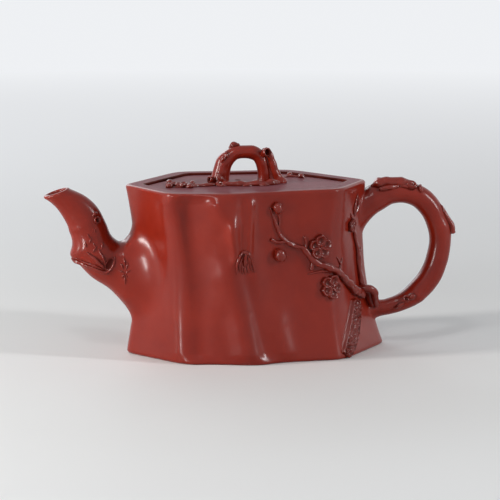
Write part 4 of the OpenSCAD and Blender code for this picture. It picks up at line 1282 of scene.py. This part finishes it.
ON_LID = (0, 0, LID_TOP)
STRAND_ROWS = [
    [[5.8, 1.4, 12.7, 1.0], [7.3, 1.2, 11.7, 1.5], [8.6, 1.1, 8.7, 1.6], [9.9, 1.1, 4.7, 1.75],
     [11.3, 1.2, 1.6, 2.0], [12.3, 1.2, 0.1, 2.4]],
    [[6.4, 2, 10.6, 1.3], [7.3, 2.2, 8, 1.6], [8.4, 2.2, 4, 1.7], [9.4, 2, 0.2, 2]]]
strand = Clay()
for rows in STRAND_ROWS:
    hung(strand, ON_LID, rows, seed=61, sides=24, step=0.25)
strand.fired("knob_root", wall_clay, "lid")

knots = Clay()
hung(knots, ON_LID, [[4.9, 1.2, 11, 1.3], [5.8, -0.5, 12, 1.55], [6.2, -1.4, 12.3, 1.6]],
     ("round", "cup"), rough=0.14, seed=62, sides=24, step=0.2)
twigs_on(knots, on_knob, [
    (63, 0.3, [[0.36, 214, 0.7], [0.35, 226, 0.95], [0.34, 240, 0.7]]),
    (64, 0.12, [[0.42, 150, 0.8], [0.45, 160, 1.5], [0.48, 168, 0.8]]),
    (68, 0.3, [[0.28, 240, 0.4], [0.31, 236, 0.8], [0.34, 240, 0.4]])])
knots.fired("knob_knots", relief_clay, "lid", ["knob_bump"])
scale = Clay()
hung(scale, ON_LID, [[-12, 0.6, 1.4, 1.1], [-14, -0.2, 1.7, 1.2], [-15.6, -0.9, 2, 1.3]],
     ("round", "cup"), rough=0.14, seed=65, sides=22, step=0.2)
hung(scale, ON_LID, [[-10.4, -1.6, 0.8, 0.6], [-11.8, -2.5, 2.6, 1.1], [-13.1, -2.5, 4.8, 0.3]],
     TAPERED, rough=0.2, flat=0.5, seed=66, sides=20, step=0.2)
twig(scale, on_lid, [[-10.6, -3.4, 0.5, 0.3], [-12.6, -3.6, 0.7, 0.9], [-13.4, -4.6, 0.6, 0.3],
                     [-12, -5.6, 0.65], [-10.4, -5.4, 0.4]], rough=0.2, seed=67)
scale.fired("knob_leaf", relief_clay, "lid")


# ---- The lid's sprigs ----
# A root runs along the lid between the knob's feet. From the left foot a twig with small blossoms
# and buds creeps over the lid, and another lies at its back right.
ridge = Clay()
twigs_on(ridge, on_lid, [
    (71, 0.25, [[-10.6, -3.6, 1.3], [-8, -4.6, 1.35], [-5, -5.2, 1.5], [-2, -5.4, 1.15],
                [1.4, -5.6, 1.5], [4, -5.4, 1.25], [7, -4.4, 1.6], [10.4, -2.6, 1.2]]),
    (72, 0.4, [[-3.4, -6.9, 0.5], [-2, -7, 0.8], [-0.6, -6.8, 0.5]]),
    (73, 0.4, [[3.2, -6.9, 0.6], [4.8, -6.8, 0.75], [6.2, -6.2, 0.4]])])
ridge.fired("lid_ridge", relief_clay, "lid")

creeper = Clay()
for seed, rows in enumerate([
        [[-14, -3.4, 1.0], [-18, -4.4, 0.85], [-21.5, -3.6, 0.8], [-25.5, -2.2, 0.6],
         [-29, 1.5, 0.4]],
        [[-20.6, -3.8, 0.6], [-25, -6.3, 0.6], [-30.4, -6.4, 0.35]],
        [[-23.4, -2.9, 0.5], [-23, -1, 0.5], [-22.5, 0.4, 0.35]],
        [[14, 14, 0.3], [16.5, 15.4, 0.5], [18.8, 16, 0.6], [21, 15.4, 0.5],
         [23.4, 14.3, 0.3]]], 80):
    twig(creeper, on_lid, rows, TAPERED, rough=0.25, seed=seed)
creeper.fired("lid_branch", relief_clay, "lid")

flowers = Clay()
blossom(flowers, on_lid, -27.4, -4.6, 5.6, 1.5, 20)
blossom(flowers, on_lid, -30.9, -1.4, 4.6, 1.3, 0)
flowers.fired("lid_blossoms", relief_clay, "lid", slot="clay_relief")
buds = Clay()
for a, b, width, way in ((-31, 3.8, 2.2, 120), (-22.4, 1.2, 1.9, 90), (-24.6, -7.8, 2, 200),
                         (-32.4, -6.2, 2, 180), (18.8, 17.9, 2, 80), (22.4, 12.8, 2, -40)):
    bud(buds, on_lid, a, b, width, way)
buds.fired("lid_buds", relief_clay, "lid", slot="clay_relief")
